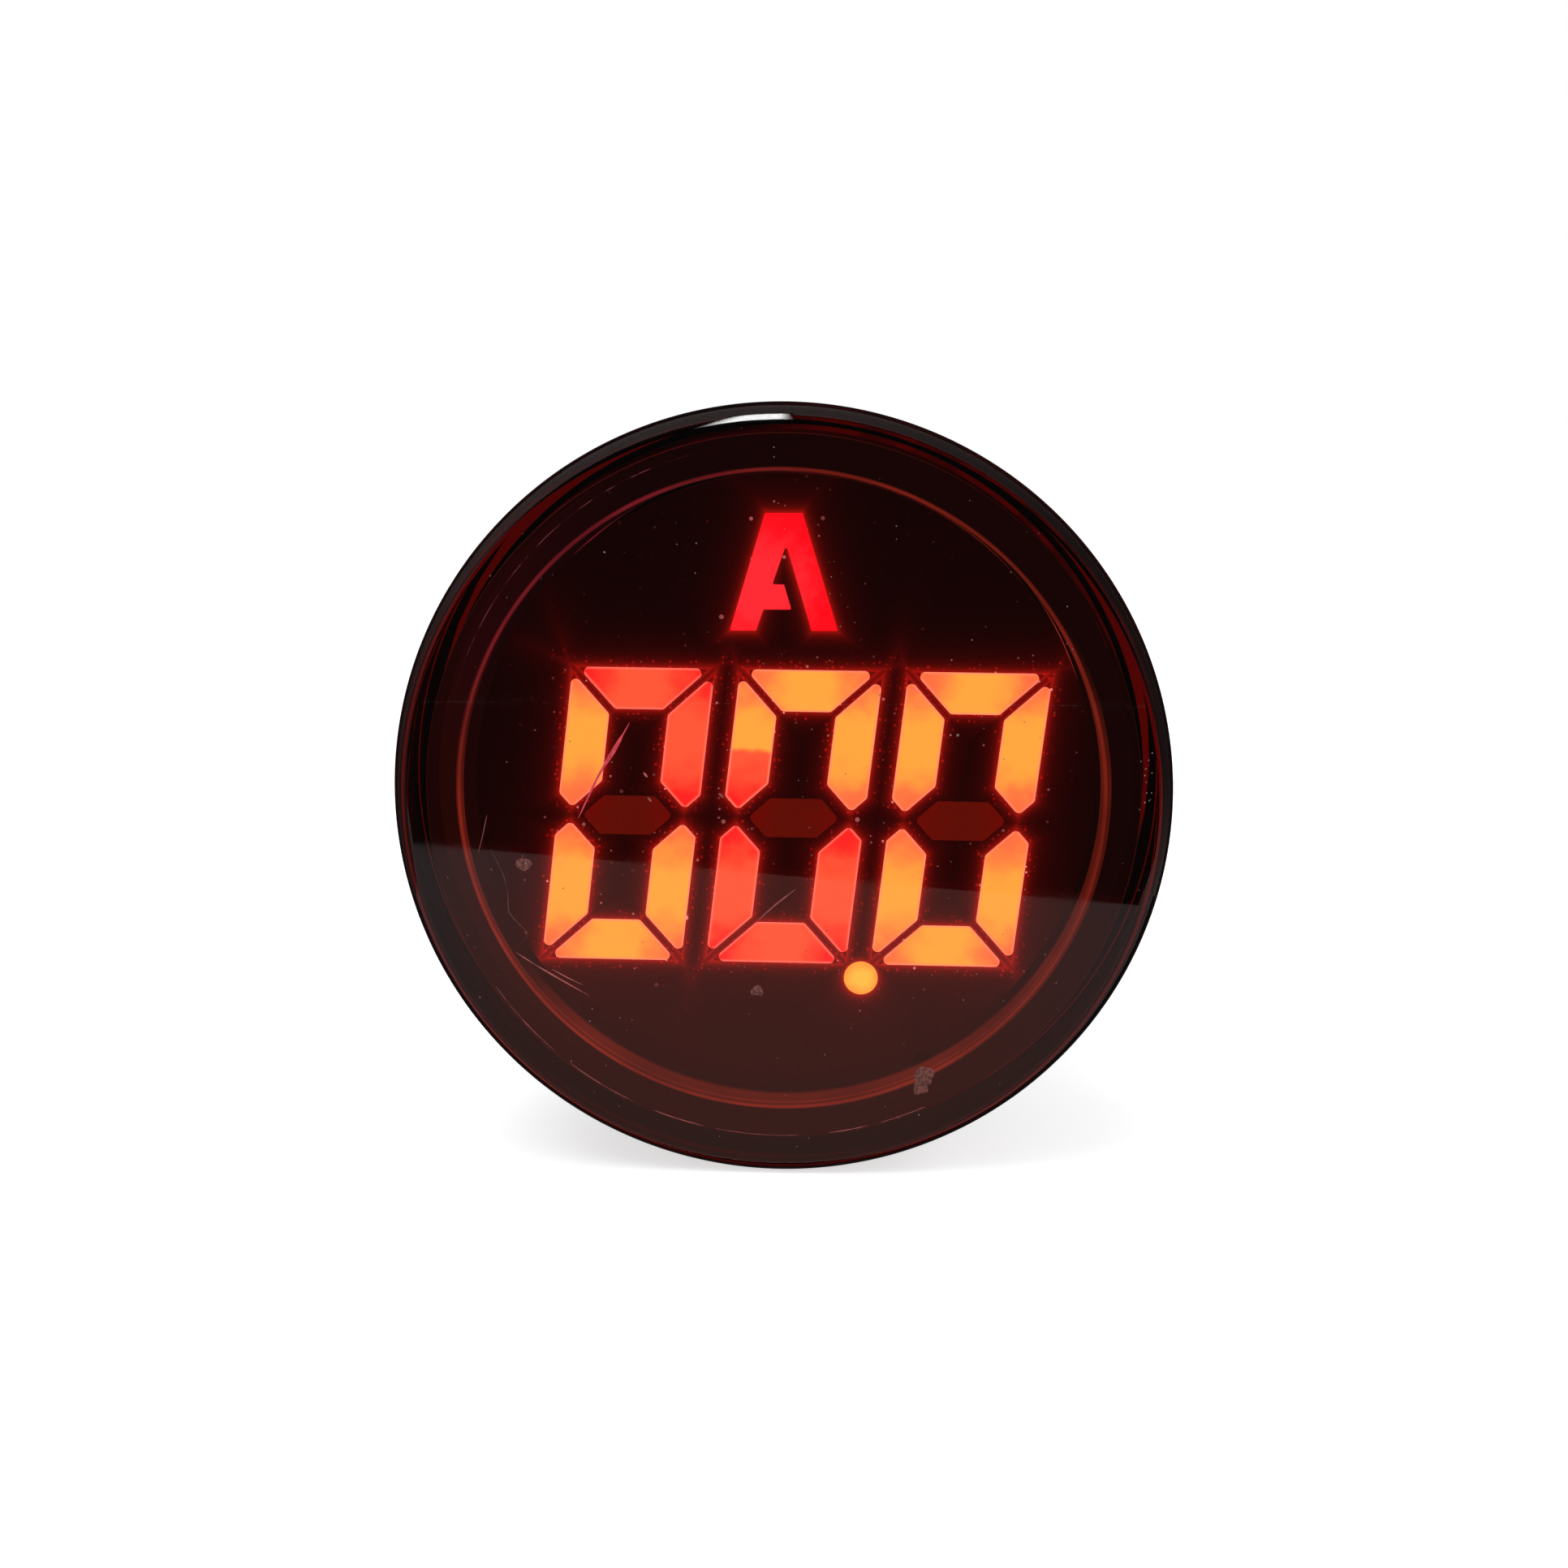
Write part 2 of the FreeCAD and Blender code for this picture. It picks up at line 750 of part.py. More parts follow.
def make_dropper_capacitor():
    """Box film capacitor standing on the board, with its two leads soldered through it."""
    half = dropper_width / 2
    case = block(-half, half, dropper_front_y, dropper_rear_y, board_top_z, dropper_top_z)
    upright = [e for e in case.Edges if e.BoundBox.ZLength > (dropper_top_z - board_top_z) / 2]
    case = case.makeFillet(dropper_edge_radius, upright)
    for x, y in dropper_leads():
        case = case.fuse(bent_lead([V(x, y, board_top_z + dropper_edge_radius), V(x, y, lead_end_z)]))
    return case


def make_smoothing_capacitor():
    """Electrolytic can lying under the board, with two leads bent up through it."""
    z = board_bottom_z - capacitor_seat_gap - smoothing_radius
    can = rod(smoothing_radius, smoothing_x, z, smoothing_front_y, smoothing_rear_y)
    groove_y = smoothing_rear_y - smoothing_groove_from_end
    groove = Part.makeTorus(smoothing_radius, smoothing_groove_depth, V(smoothing_x, groove_y, z), BACKWARD)
    can = can.cut(groove)
    for x, y in smoothing_leads():
        start = V(x, smoothing_rear_y - smoothing_groove_depth, z)
        can = can.fuse(bent_lead([start, V(x, y, z), V(x, y, board_top_z + lead_stub)]))
    return can


def make_resistor(x):
    """Axial resistor along the board, with its leads bent down through it."""
    z = board_top_z + capacitor_seat_gap + resistor_radius
    body_y = (resistor_front_y + resistor_rear_y - resistor_length) / 2
    body_rear_y = body_y + resistor_length
    body = rod(resistor_radius, x, z, body_y, body_rear_y)
    ends = edges_at(body, body_y) + edges_at(body, body_rear_y)
    body = body.makeFillet(resistor_end_radius, ends)
    front = [V(x, resistor_front_y, lead_end_z), V(x, resistor_front_y, z)]
    rear = [V(x, resistor_rear_y, z), V(x, resistor_rear_y, lead_end_z)]
    return body.fuse(bent_lead(front + rear))


def chip_package(x, front_y, width, length, height, legs, pitch):
    """A chip under the board: a moulded body with a row of bent legs along each long side."""
    top_z = board_bottom_z - leg_standoff
    low_z = top_z - height
    package = block(x - width / 2, x + width / 2, front_y, front_y + length, low_z, top_z)
    shoulder_z = top_z - height * leg_shoulder_share
    for side in (-1, 1):
        wall_x = x + side * width / 2
        riser_x = wall_x + side * leg_foot / 2
        foot_x = wall_x + side * leg_foot
        for i in range(legs):
            leg_y = front_y + length / 2 + (i - (legs - 1) / 2) * pitch
            y_low = leg_y - leg_width / 2
            y_high = leg_y + leg_width / 2
            shoulder = sorted((wall_x - side * leg_thickness, riser_x))
            riser = sorted((riser_x - side * leg_thickness, riser_x))
            foot = sorted((riser_x - side * leg_thickness, foot_x))
            foot_z = board_bottom_z - leg_thickness
            package = package.fuse([
                block(*shoulder, y_low, y_high, shoulder_z, shoulder_z + leg_thickness),
                block(*riser, y_low, y_high, shoulder_z, board_bottom_z),
                block(*foot, y_low, y_high, foot_z, board_bottom_z),
            ])
    return package.removeSplitter()


def make_controller_chip():
    """The measuring chip."""
    return chip_package(
        chip_x,
        chip_front_y,
        chip_body_width,
        chip_body_length,
        chip_body_height,
        chip_leg_count,
        chip_leg_pitch,
    )


def make_bridge_rectifier():
    """The small supply rectifier."""
    return chip_package(
        rectifier_x,
        rectifier_front_y,
        rectifier_width,
        rectifier_length,
        rectifier_height,
        rectifier_leg_count,
        rectifier_leg_pitch,
    )


# Terminals

def terminal_corners():
    """The number and the signs of x and z of each terminal, as seen from behind: top row first."""
    return [(1, 1, 1), (2, -1, 1), (3, -1, -1), (4, 1, -1)]


def quadrant_box(side_x, side_z, x_span, y_span, z_span):
    """A box given for the quadrant of +X and +Z, mirrored into the quadrant of the two signs."""
    xs = sorted((side_x * x_span[0], side_x * x_span[1]))
    zs = sorted((side_z * z_span[0], side_z * z_span[1]))
    return block(xs[0], xs[1], y_span[0], y_span[1], zs[0], zs[1])


def tab_box(side_x, side_z, clearance, y_low, y_high):
    """The tab of a terminal plate, which lies on the board; its hole in the block has a clearance."""
    half = tab_width / 2 + clearance
    x_span = (terminal_offset - half, terminal_offset + half)
    z_span = (board_top_z - clearance, board_top_z + tab_thickness + clearance)
    return quadrant_box(side_x, side_z, x_span, (y_low, y_high), z_span)


def make_terminal_block():
    """Plug that closes the barrel, with a cross of barriers between its four terminals."""
    body = turned([
        (0, block_front_y),
        (block_plug_radius, block_front_y),
        (block_plug_radius, barrel_rear_y),
        (block_radius, barrel_rear_y),
        (block_radius, block_face_y - block_edge_chamfer),
        (block_radius - block_edge_chamfer, block_face_y),
        (0, block_face_y),
    ])
    half = barrier_thickness / 2
    reach = block_radius - block_edge_chamfer
    cross = block(-half, half, barrel_rear_y, barrier_rear_y, -reach, reach)
    cross = cross.fuse(block(-reach, reach, barrel_rear_y, barrier_rear_y, -half, half))
    body = body.fuse(cross.common(rod(reach, 0, 0, barrel_rear_y, barrier_rear_y)))
    hole_radius = screw_shank_radius + screw_block_clearance
    cut_start_y = block_front_y - cut_overshoot
    cut_end_y = block_face_y + cut_overshoot
    for _, side_x, side_z in terminal_corners():
        x = side_x * terminal_offset
        z = side_z * terminal_offset
        body = body.cut(rod(hole_radius, x, z, block_front_y + screw_hole_floor, cut_end_y))
        body = body.cut(tab_box(side_x, side_z, block_tab_clearance, cut_start_y, cut_end_y))
    return body.removeSplitter()


def make_terminal_plate(side_x, side_z):
    """Brass plate with a tapped hole and a tab bent forward through the block onto the main board."""
    inner = barrier_thickness / 2
    x_span = (terminal_offset - plate_half_width, terminal_offset + plate_half_width)
    z_span = (inner, terminal_offset + plate_half_width)
    plate = quadrant_box(side_x, side_z, x_span, (block_face_y, plate_rear_y), z_span)
    plate = plate.common(rod(block_radius - plate_rim_gap, 0, 0, block_face_y, plate_rear_y))
    plate = plate.fuse(tab_box(side_x, side_z, 0, board_rear_y - tab_on_board, plate_rear_y))
    hole_radius = screw_shank_radius + screw_hole_clearance
    x = side_x * terminal_offset
    z = side_z * terminal_offset
    hole = rod(hole_radius, x, z, block_face_y - cut_overshoot, plate_rear_y + cut_overshoot)
    return plate.cut(hole).removeSplitter()


def make_clamp_washer(side_x, side_z):
    """Square washer that presses the wire onto the plate."""
    x = side_x * terminal_offset
    z = side_z * terminal_offset
    half = clamp_size / 2
    corners = [(x - half, z - half), (x + half, z - half), (x + half, z + half), (x - half, z + half)]
    washer = prism(corners, clamp_corner_radius, plate_rear_y, clamp_rear_y)
    hole_radius = screw_shank_radius + screw_clamp_clearance
    return washer.cut(rod(hole_radius, x, z, plate_rear_y - cut_overshoot, clamp_rear_y + cut_overshoot))


def make_terminal_screw(side_x, side_z):
    """Pan-head screw with a cross recess. Its thread is fine."""
    x = side_x * terminal_offset
    z = side_z * terminal_offset
    screw = turned([
        (0, screw_tip_y),
        (screw_shank_radius - screw_tip_chamfer, screw_tip_y),
        (screw_shank_radius, screw_tip_y + screw_tip_chamfer),
        (screw_shank_radius, clamp_rear_y),
        (screw_head_radius, clamp_rear_y),
        (screw_head_radius, head_rear_y),
        (0, head_rear_y),
    ])
    screw = screw.makeFillet(screw_head_edge_radius, edges_at(screw, head_rear_y))
    half_width = screw_recess_width / 2
    half_length = screw_recess_length / 2
    floor_y = head_rear_y - screw_recess_depth
    cut_end_y = head_rear_y + cut_overshoot
    screw = screw.cut([
        block(-half_width, half_width, floor_y, cut_end_y, -half_length, half_length),
        block(-half_length, half_length, floor_y, cut_end_y, -half_width, half_width),
    ])
    screw.translate(V(x, 0, z))
    return screw


def all_pieces():
    """Every piece by node name."""
    lights = make_light_pieces()
    pieces = {
        "lens_cap": make_lens_cap(),
        "main_housing": make_main_housing(),
        "flange_gasket": make_flange_gasket(),
        "nut_washer": make_nut_washer(),
        "mounting_nut": make_mounting_nut(),
        "display_housing": make_display_housing(),
        "led_chips": make_led_chips(lights),
        "display_board": make_display_board(),
        "link_header": make_link_header(),
        "link_pins": make_link_pins(),
        "main_board": make_main_board(),
        "dropper_capacitor": make_dropper_capacitor(),
        "smoothing_capacitor": make_smoothing_capacitor(),
        "fuse_resistor": make_resistor(resistor_x),
        "burden_resistor": make_resistor(-resistor_x),
        "controller_chip": make_controller_chip(),
        "bridge_rectifier": make_bridge_rectifier(),
        "terminal_block": make_terminal_block(),
    }
    pieces.update(lights)
    for number, side_x, side_z in terminal_corners():
        pieces["terminal_plate_%d" % number] = make_terminal_plate(side_x, side_z)
        pieces["clamp_washer_%d" % number] = make_clamp_washer(side_x, side_z)
        pieces["terminal_screw_%d" % number] = make_terminal_screw(side_x, side_z)
    return pieces


os.makedirs("parts", exist_ok=True)
for node, shape in all_pieces().items():
    shape.exportStep("parts/%s.step" % node)
    print(node, "solids", len(shape.Solids), "valid", shape.isValid(), "mm3", round(shape.Volume, 2))
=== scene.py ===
import math

import bpy
import numpy as np
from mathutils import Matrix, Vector


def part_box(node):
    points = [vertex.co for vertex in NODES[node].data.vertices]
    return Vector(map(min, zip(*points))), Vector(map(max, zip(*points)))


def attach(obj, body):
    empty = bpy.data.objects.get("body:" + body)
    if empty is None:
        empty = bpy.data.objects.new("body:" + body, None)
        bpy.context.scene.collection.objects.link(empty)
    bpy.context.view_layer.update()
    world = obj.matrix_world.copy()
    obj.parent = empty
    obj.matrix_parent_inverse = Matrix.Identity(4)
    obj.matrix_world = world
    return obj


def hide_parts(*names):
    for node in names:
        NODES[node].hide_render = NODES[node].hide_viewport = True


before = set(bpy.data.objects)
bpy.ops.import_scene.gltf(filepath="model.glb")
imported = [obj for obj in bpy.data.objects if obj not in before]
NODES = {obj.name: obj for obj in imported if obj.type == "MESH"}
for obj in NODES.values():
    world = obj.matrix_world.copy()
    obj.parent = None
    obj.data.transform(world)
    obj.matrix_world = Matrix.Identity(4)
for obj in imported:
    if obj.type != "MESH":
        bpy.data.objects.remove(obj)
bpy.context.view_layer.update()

# Round digital panel ammeter. Shapes are worked out in millimetres; the meter's axis is Y,
# its lens looks towards -Y, the panel's front is the plane y = 0 and +Z is up.

MM = 0.001


def low_of(node):
    """A node's lowest corner in millimetres."""
    return np.array(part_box(node)[0]) / MM


def high_of(node):
    """A node's highest corner in millimetres."""
    return np.array(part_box(node)[1]) / MM


# Head
LENS_RADIUS = high_of("lens_cap")[0]
LENS_FACE_Y = low_of("lens_cap")[1]
LENS_REAR_Y = high_of("lens_cap")[1]
LENS_WALL = 1.1
LENS_EDGE_RADIUS = 0.65
LENS_CLEARANCE = 0.1
WINDOW_THICKNESS = 1.5
FACE_SINK = 0.012
WEAR_HEIGHT = 0.007
BEAD_Y = -4.6
BEAD_HALF = 0.4
BEAD_HEIGHT = 0.16
RIM_Y = low_of("main_housing")[1]
CUP_RIM_WIDTH = 0.25
CONE_WIDTH = 1.05
CONE_DROP = 1.9
CONE_OUTER = LENS_RADIUS - LENS_WALL - LENS_CLEARANCE
CUP_INNER = CONE_OUTER - CONE_WIDTH - CUP_RIM_WIDTH
CONE_END_Y = RIM_Y + CONE_DROP
LEDGE_Y = high_of("display_board")[1]

# Barrel and seat
FLANGE_RADIUS = high_of("main_housing")[0]
FLANGE_FRONT_Y = LENS_REAR_Y
FLANGE_REAR_Y = low_of("flange_gasket")[1]
GASKET_RADIUS = high_of("flange_gasket")[0]
SEAT_GROOVE = 10.7
SPIGOT_RADIUS = 11.0
SPIGOT_END_Y = 2.0
THREAD_FRONT_Y = 3.2
THREAD_RELIEF = 10.0
THREAD_RADIUS = 10.9
THREAD_PITCH = 1.5
THREAD_DEPTH = 0.8
BARREL_REAR_Y = high_of("main_housing")[1]
BARREL_BORE = 9.3
BARREL_FLAT = 10.3
NUT_RADIUS = high_of("mounting_nut")[0]
NUT_FRONT_Y = low_of("mounting_nut")[1]
NUT_REAR_Y = high_of("mounting_nut")[1]
NUT_GRIPS = 16
NUT_GRIP_RADIUS = 0.75
NUT_GRIP_DEPTH = 0.55
WASHER_INNER = 11.15
WASHER_RADIUS = high_of("nut_washer")[0]

# Screw terminals
TERMINALS = ((1, 1, 1), (2, -1, 1), (3, -1, -1), (4, 1, -1))
TERMINAL_OFFSET = 4.1
SCREW_TIP_Y = low_of("terminal_screw_1")[1]
SCREW_REAR_Y = high_of("terminal_screw_1")[1]
SCREW_RADIUS = 1.45
SCREW_PITCH = 0.5
SCREW_THREAD_DEPTH = 0.28
SCREW_TIP_RADIUS = 1.1
SCREW_NECK = 1.4
SCREW_HEAD = 2.6
RECESS_REACH = 1.75
CLAMP_HOLE = 1.6
CLAMP_FRONT_Y = low_of("clamp_washer_1")[1]
CLAMP_REAR_Y = high_of("clamp_washer_1")[1]

# Digits and letter, as they lie on the display's face
DIGIT_ROW = (0.37, -1.265)
DIGIT_TILT = math.radians(-0.6)
DIGIT_SLANT = math.tan(math.radians(6.3))
DIGIT_PITCH = 6.4
DIGIT_HALF_WIDTH = 2.725
DIGIT_HALF_HEIGHT = 5.725
SEGMENT_WIDTH = 1.6
MITRE_GAP = 0.28
TIP_Z = 0.27
TIP_INSET = 0.55
LETTER_BASE_Z = 5.95
LETTER_HEIGHT = 4.43
LETTER_HALF_FOOT = 1.55
LETTER_LEAN = 1.34 / LETTER_HEIGHT
LETTER_HALF_STROKE = 0.47
POINT_CENTRE = (low_of("decimal_point") + high_of("decimal_point"))[[0, 2]] / 2
POINT_RADIUS = 0.66
POST_MIDDLE = 2.97
COLOUR_CHANGE_Z = 2.6

FLOOR_Z = -LENS_RADIUS - 0.02
SQRT2 = math.sqrt(2.0)
TURN = 2.0 * math.pi


# Surfaces

def rounded(corners, steps=5, support=0.012):
    """A line through corners (u, v, radius). Each corner becomes an arc that touches both of its
    sides r * tan(half the turn) away from it, worked out as a rational quadratic curve with the
    corner as its middle point and cos(half the turn) as its weight, and a support point lies just
    before and just after it, so that the flat beside it keeps its own normal."""
    data = np.array(corners, float)
    corner, radius = data[:, :2], data[:, 2]
    into = corner - np.roll(corner, 1, 0)
    out = np.roll(corner, -1, 0) - corner
    into /= np.maximum(np.linalg.norm(into, axis=1), 1e-9)[:, None]
    out /= np.maximum(np.linalg.norm(out, axis=1), 1e-9)[:, None]
    half_turn = np.arccos(np.clip((into * out).sum(1), -1, 1)) / 2
    reach = (radius * np.tan(half_turn))[:, None]
    start, end = corner - into * reach, corner + out * reach
    t = np.linspace(0, 1, steps + 1)[None, :, None]
    weight = np.cos(half_turn)[:, None, None]
    a, b, c = (1 - t) ** 2, 2 * weight * t * (1 - t), t ** 2
    arc = (a * start[:, None] + b * corner[:, None] + c * end[:, None]) / (a + b + c)
    extra = (support * (radius > 0))[:, None]
    line = np.concatenate([(start - into * extra)[:, None], arc, (end + out * extra)[:, None]], 1)
    return line.reshape(-1, 2)


def even_angles(count):
    """Angles once round the axis, with the first repeated at the end."""
    return np.linspace(0, TURN, count + 1)


def rings(line, angles):
    """Every point (radius, y) of a line as a row of the same radius and y at each angle."""
    line = np.asarray(line, float)
    across = np.ones(len(angles))
    return line[:, :1] * across, line[:, 1:] * across


def turned(radius, y, angles, centre=(0, 0)):
    """Points x = r cos(angle), z = r sin(angle) beside the centre, for rows of radii and stations."""
    x = centre[0] + radius * np.cos(angles)
    z = centre[1] + radius * np.sin(angles)
    return np.stack([x, y + 0 * x, z], -1)


def grid_faces(rows, columns, closed):
    """Four-sided faces between each row and column of a grid and the next, and between the last
    row and the first if it is closed."""
    row = np.arange(rows if closed else rows - 1)[:, None]
    column = np.arange(columns - 1)[None, :]
    here, above = row * columns + column, ((row + 1) % rows) * columns + column
    return np.stack([here, here + 1, above + 1, above], -1).reshape(-1, 4)


def sheet_of(grid, closed=True):
    """The points and faces of a grid of points."""
    rows, columns, _ = grid.shape
    return grid.reshape(-1, 3), grid_faces(rows, columns, closed)


def joined(surfaces):
    """Several surfaces as the points and faces of one."""
    starts = np.cumsum([0] + [len(points) for points, _ in surfaces[:-1]])
    faces = [face + start for (_, face), start in zip(surfaces, starts)]
    return np.concatenate([points for points, _ in surfaces]), np.concatenate(faces)


def welded(points, faces, size=1e-4):
    """The same surface with coinciding points made one: a four-sided face that lost a point
    becomes a triangle, and one that lost more has no area and goes."""
    keys = np.floor(points / size + 0.37).astype(np.int64)
    _, first, place = np.unique(keys, axis=0, return_index=True, return_inverse=True)
    faces = place.reshape(-1)[faces]
    same = faces == np.roll(faces, -1, 1)
    crossed = (faces[:, 0] == faces[:, 2]) | (faces[:, 1] == faces[:, 3])
    quads = faces[(same.sum(1) == 0) & ~crossed]
    single = (same.sum(1) == 1) & ~crossed
    spare = same[single].argmax(1)[:, None]
    triangles = np.take_along_axis(faces[single], (spare + np.arange(1, 4)) % 4, 1)
    return points[first], quads, triangles


def new_piece(name, surface, finish, body="meter", stands_for=(), crease=32):
    """A surface as a piece that rides on a body. The volume that its faces enclose, the sum of
    a . (b x c) over its triangles, is negative if they point inwards, and then they are turned."""
    points, quads, triangles = welded(*surface)
    halves = [quads[:, [0, 1, 2]], quads[:, [0, 2, 3]], triangles]
    a, b, c = (points[np.concatenate(halves)[:, k]] for k in range(3))
    if (a * np.cross(b, c)).sum() < 0:
        quads, triangles = quads[:, ::-1], triangles[:, ::-1]
    mesh = bpy.data.meshes.new(name)
    mesh.from_pydata((points * MM).tolist(), [], quads.tolist() + triangles.tolist())
    mesh.shade_smooth()
    mesh.set_sharp_from_angle(angle=math.radians(crease))
    mesh.materials.append(finish)
    piece = bpy.data.objects.new(name, mesh)
    bpy.context.scene.collection.objects.link(piece)
    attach(piece, body)
    if stands_for:
        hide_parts(*stands_for)
    return piece


def finish_front(piece, finish, rear_y):
    """Gives a second finish to a piece's faces whose middles lie in front of a plane."""
    mesh = piece.data
    middles = np.empty(len(mesh.polygons) * 3)
    mesh.polygons.foreach_get("center", middles)
    mesh.materials.append(finish)
    mesh.polygons.foreach_set("material_index", (middles[1::3] < rear_y * MM).astype(np.int32))


# Finishes: short ways to write a material's nodes as arithmetic

class Number:
    """A number that a finish works out at each point of a surface."""

    def __init__(self, finish, socket):
        self.finish = finish
        self.socket = socket

    def made(self, operation, *others):
        return self.finish.math(operation, self, *others)

    def __add__(self, other):
        return self.made("ADD", other)

    def __mul__(self, other):
        return self.made("MULTIPLY", other)

    def __sub__(self, other):
        return self.made("SUBTRACT", other)

    def __rsub__(self, other):
        return self.finish.math("SUBTRACT", other, self)

    def __truediv__(self, other):
        return self.made("DIVIDE", other)

    def size(self):
        return self.made("ABSOLUTE")

    def least(self, other):
        return self.made("MINIMUM", other)

    def most(self, other):
        return self.made("MAXIMUM", other)

    def ramp(self, low, high, to_low=0.0, to_high=1.0):
        """Goes smoothly from one value at low to another at high, and stays there beyond them."""
        node = self.finish.add("ShaderNodeMapRange", interpolation_type="SMOOTHSTEP")
        names = ("Value", "From Min", "From Max", "To Min", "To Max")
        self.finish.fill(node, dict(zip(names, (self, low, high, to_low, to_high))))
        return Number(self.finish, node.outputs["Result"])

    def band(self, low, high, soft):
        """One between low and high and nothing outside, with soft edges."""
        return self.ramp(low - soft, low + soft) * self.ramp(high - soft, high + soft, 1.0, 0.0)


class Finish:
    """A material and its nodes. Lengths in its patterns are in millimetres."""

    def __init__(self, name, colour, roughness=0.5, metallic=0.0, ior=1.5):
        self.material = bpy.data.materials.new(name)
        self.material.use_nodes = True
        self.nodes = self.material.node_tree.nodes
        self.links = self.material.node_tree.links
        self.shader = self.nodes["Principled BSDF"]
        self.place_node = None
        values = {"Base Color": colour, "Roughness": roughness, "Metallic": metallic, "IOR": ior}
        self.fill(self.shader, values)

    def add(self, kind, **settings):
        node = self.nodes.new(kind)
        for setting, value in settings.items():
            setattr(node, setting, value)
        return node

    def fill(self, node, values):
        for key, value in values.items():
            socket = node.inputs[key]
            if isinstance(value, Number):
                self.links.new(value.socket, socket)
            elif isinstance(value, (tuple, list)) and len(socket.default_value) == 4:
                socket.default_value = (*value, 1.0)[:4]
            else:
                socket.default_value = value

    def set(self, **values):
        """Sets the shader's sockets, written with _ for a space."""
        self.fill(self.shader, {key.replace("_", " "): value for key, value in values.items()})

    def math(self, operation, *values):
        node = self.add("ShaderNodeMath", operation=operation)
        self.fill(node, dict(enumerate(values)))
        return Number(self, node.outputs[0])

    def where(self):
        """The point's x, y and z on the meter, in millimetres."""
        if self.place_node is None:
            coordinates = self.add("ShaderNodeTexCoord")
            scaled = self.add("ShaderNodeVectorMath", operation="SCALE")
            scaled.inputs["Scale"].default_value = 1 / MM
            self.links.new(coordinates.outputs["Object"], scaled.inputs[0])
            self.scaled = scaled.outputs[0]
            self.place_node = self.add("ShaderNodeSeparateXYZ")
            self.links.new(self.scaled, self.place_node.inputs[0])
        return [Number(self, self.place_node.outputs[axis]) for axis in range(3)]

    def joined(self, x, y, z):
        node = self.add("ShaderNodeCombineXYZ")
        self.fill(node, {0: x, 1: y, 2: z})
        return Number(self, node.outputs[0])

    def noise(self, grain, detail=2.0, at=None, roughness=0.5, stretch=None):
        """Noise with grains about as long as the given length."""
        self.where()
        node = self.add("ShaderNodeTexNoise")
        self.fill(node, {"Scale": 1 / grain, "Detail": detail, "Roughness": roughness})
        source = at.socket if at is not None else self.scaled
        if stretch:
            stretched = self.add("ShaderNodeVectorMath", operation="MULTIPLY")
            stretched.inputs[1].default_value = stretch
            self.links.new(source, stretched.inputs[0])
            source = stretched.outputs[0]
        self.links.new(source, node.inputs["Vector"])
        return Number(self, node.outputs[0])

    def specks(self, spacing, radius, share):
        """One inside small round specks on the plane of x and z that lie about a spacing apart.
        Only a share of them is kept."""
        x, _, z = self.where()
        node = self.add("ShaderNodeTexVoronoi", voronoi_dimensions="2D")
        node.inputs["Scale"].default_value = 1 / spacing
        self.links.new(self.joined(x, z, 0.0).socket, node.inputs["Vector"])
        distance = Number(self, node.outputs["Distance"])
        lottery = self.add("ShaderNodeSeparateColor")
        self.links.new(node.outputs["Color"], lottery.inputs[0])
        drawn = Number(self, lottery.outputs[0])
        size = Number(self, lottery.outputs[1]) * radius / spacing
        inside = self.math("LESS_THAN", distance, size)
        return inside * self.math("LESS_THAN", drawn, share)

    def mix(self, share, one, other):
        """A colour between one, at share 0, and the other, at share 1."""
        node = self.add("ShaderNodeMix", data_type="RGBA")
        for index, value in ((0, share), (6, one), (7, other)):
            if isinstance(value, Number):
                self.links.new(value.socket, node.inputs[index])
            else:
                node.inputs[index].default_value = (*value, 1.0) if index else value
        return Number(self, node.outputs[2])

    def bump(self, height, depth, strength=1.0):
        """Raises the surface by a height of 0 to 1 times a depth."""
        node = self.add("ShaderNodeBump")
        self.fill(node, {"Height": height, "Distance": depth * MM, "Strength": strength})
        self.set(Normal=Number(self, node.outputs[0]))

    def glow(self, colour, strength):
        """Makes the surface give off light of a colour."""
        self.set(Emission_Color=colour, Emission_Strength=strength)


# Light on the display

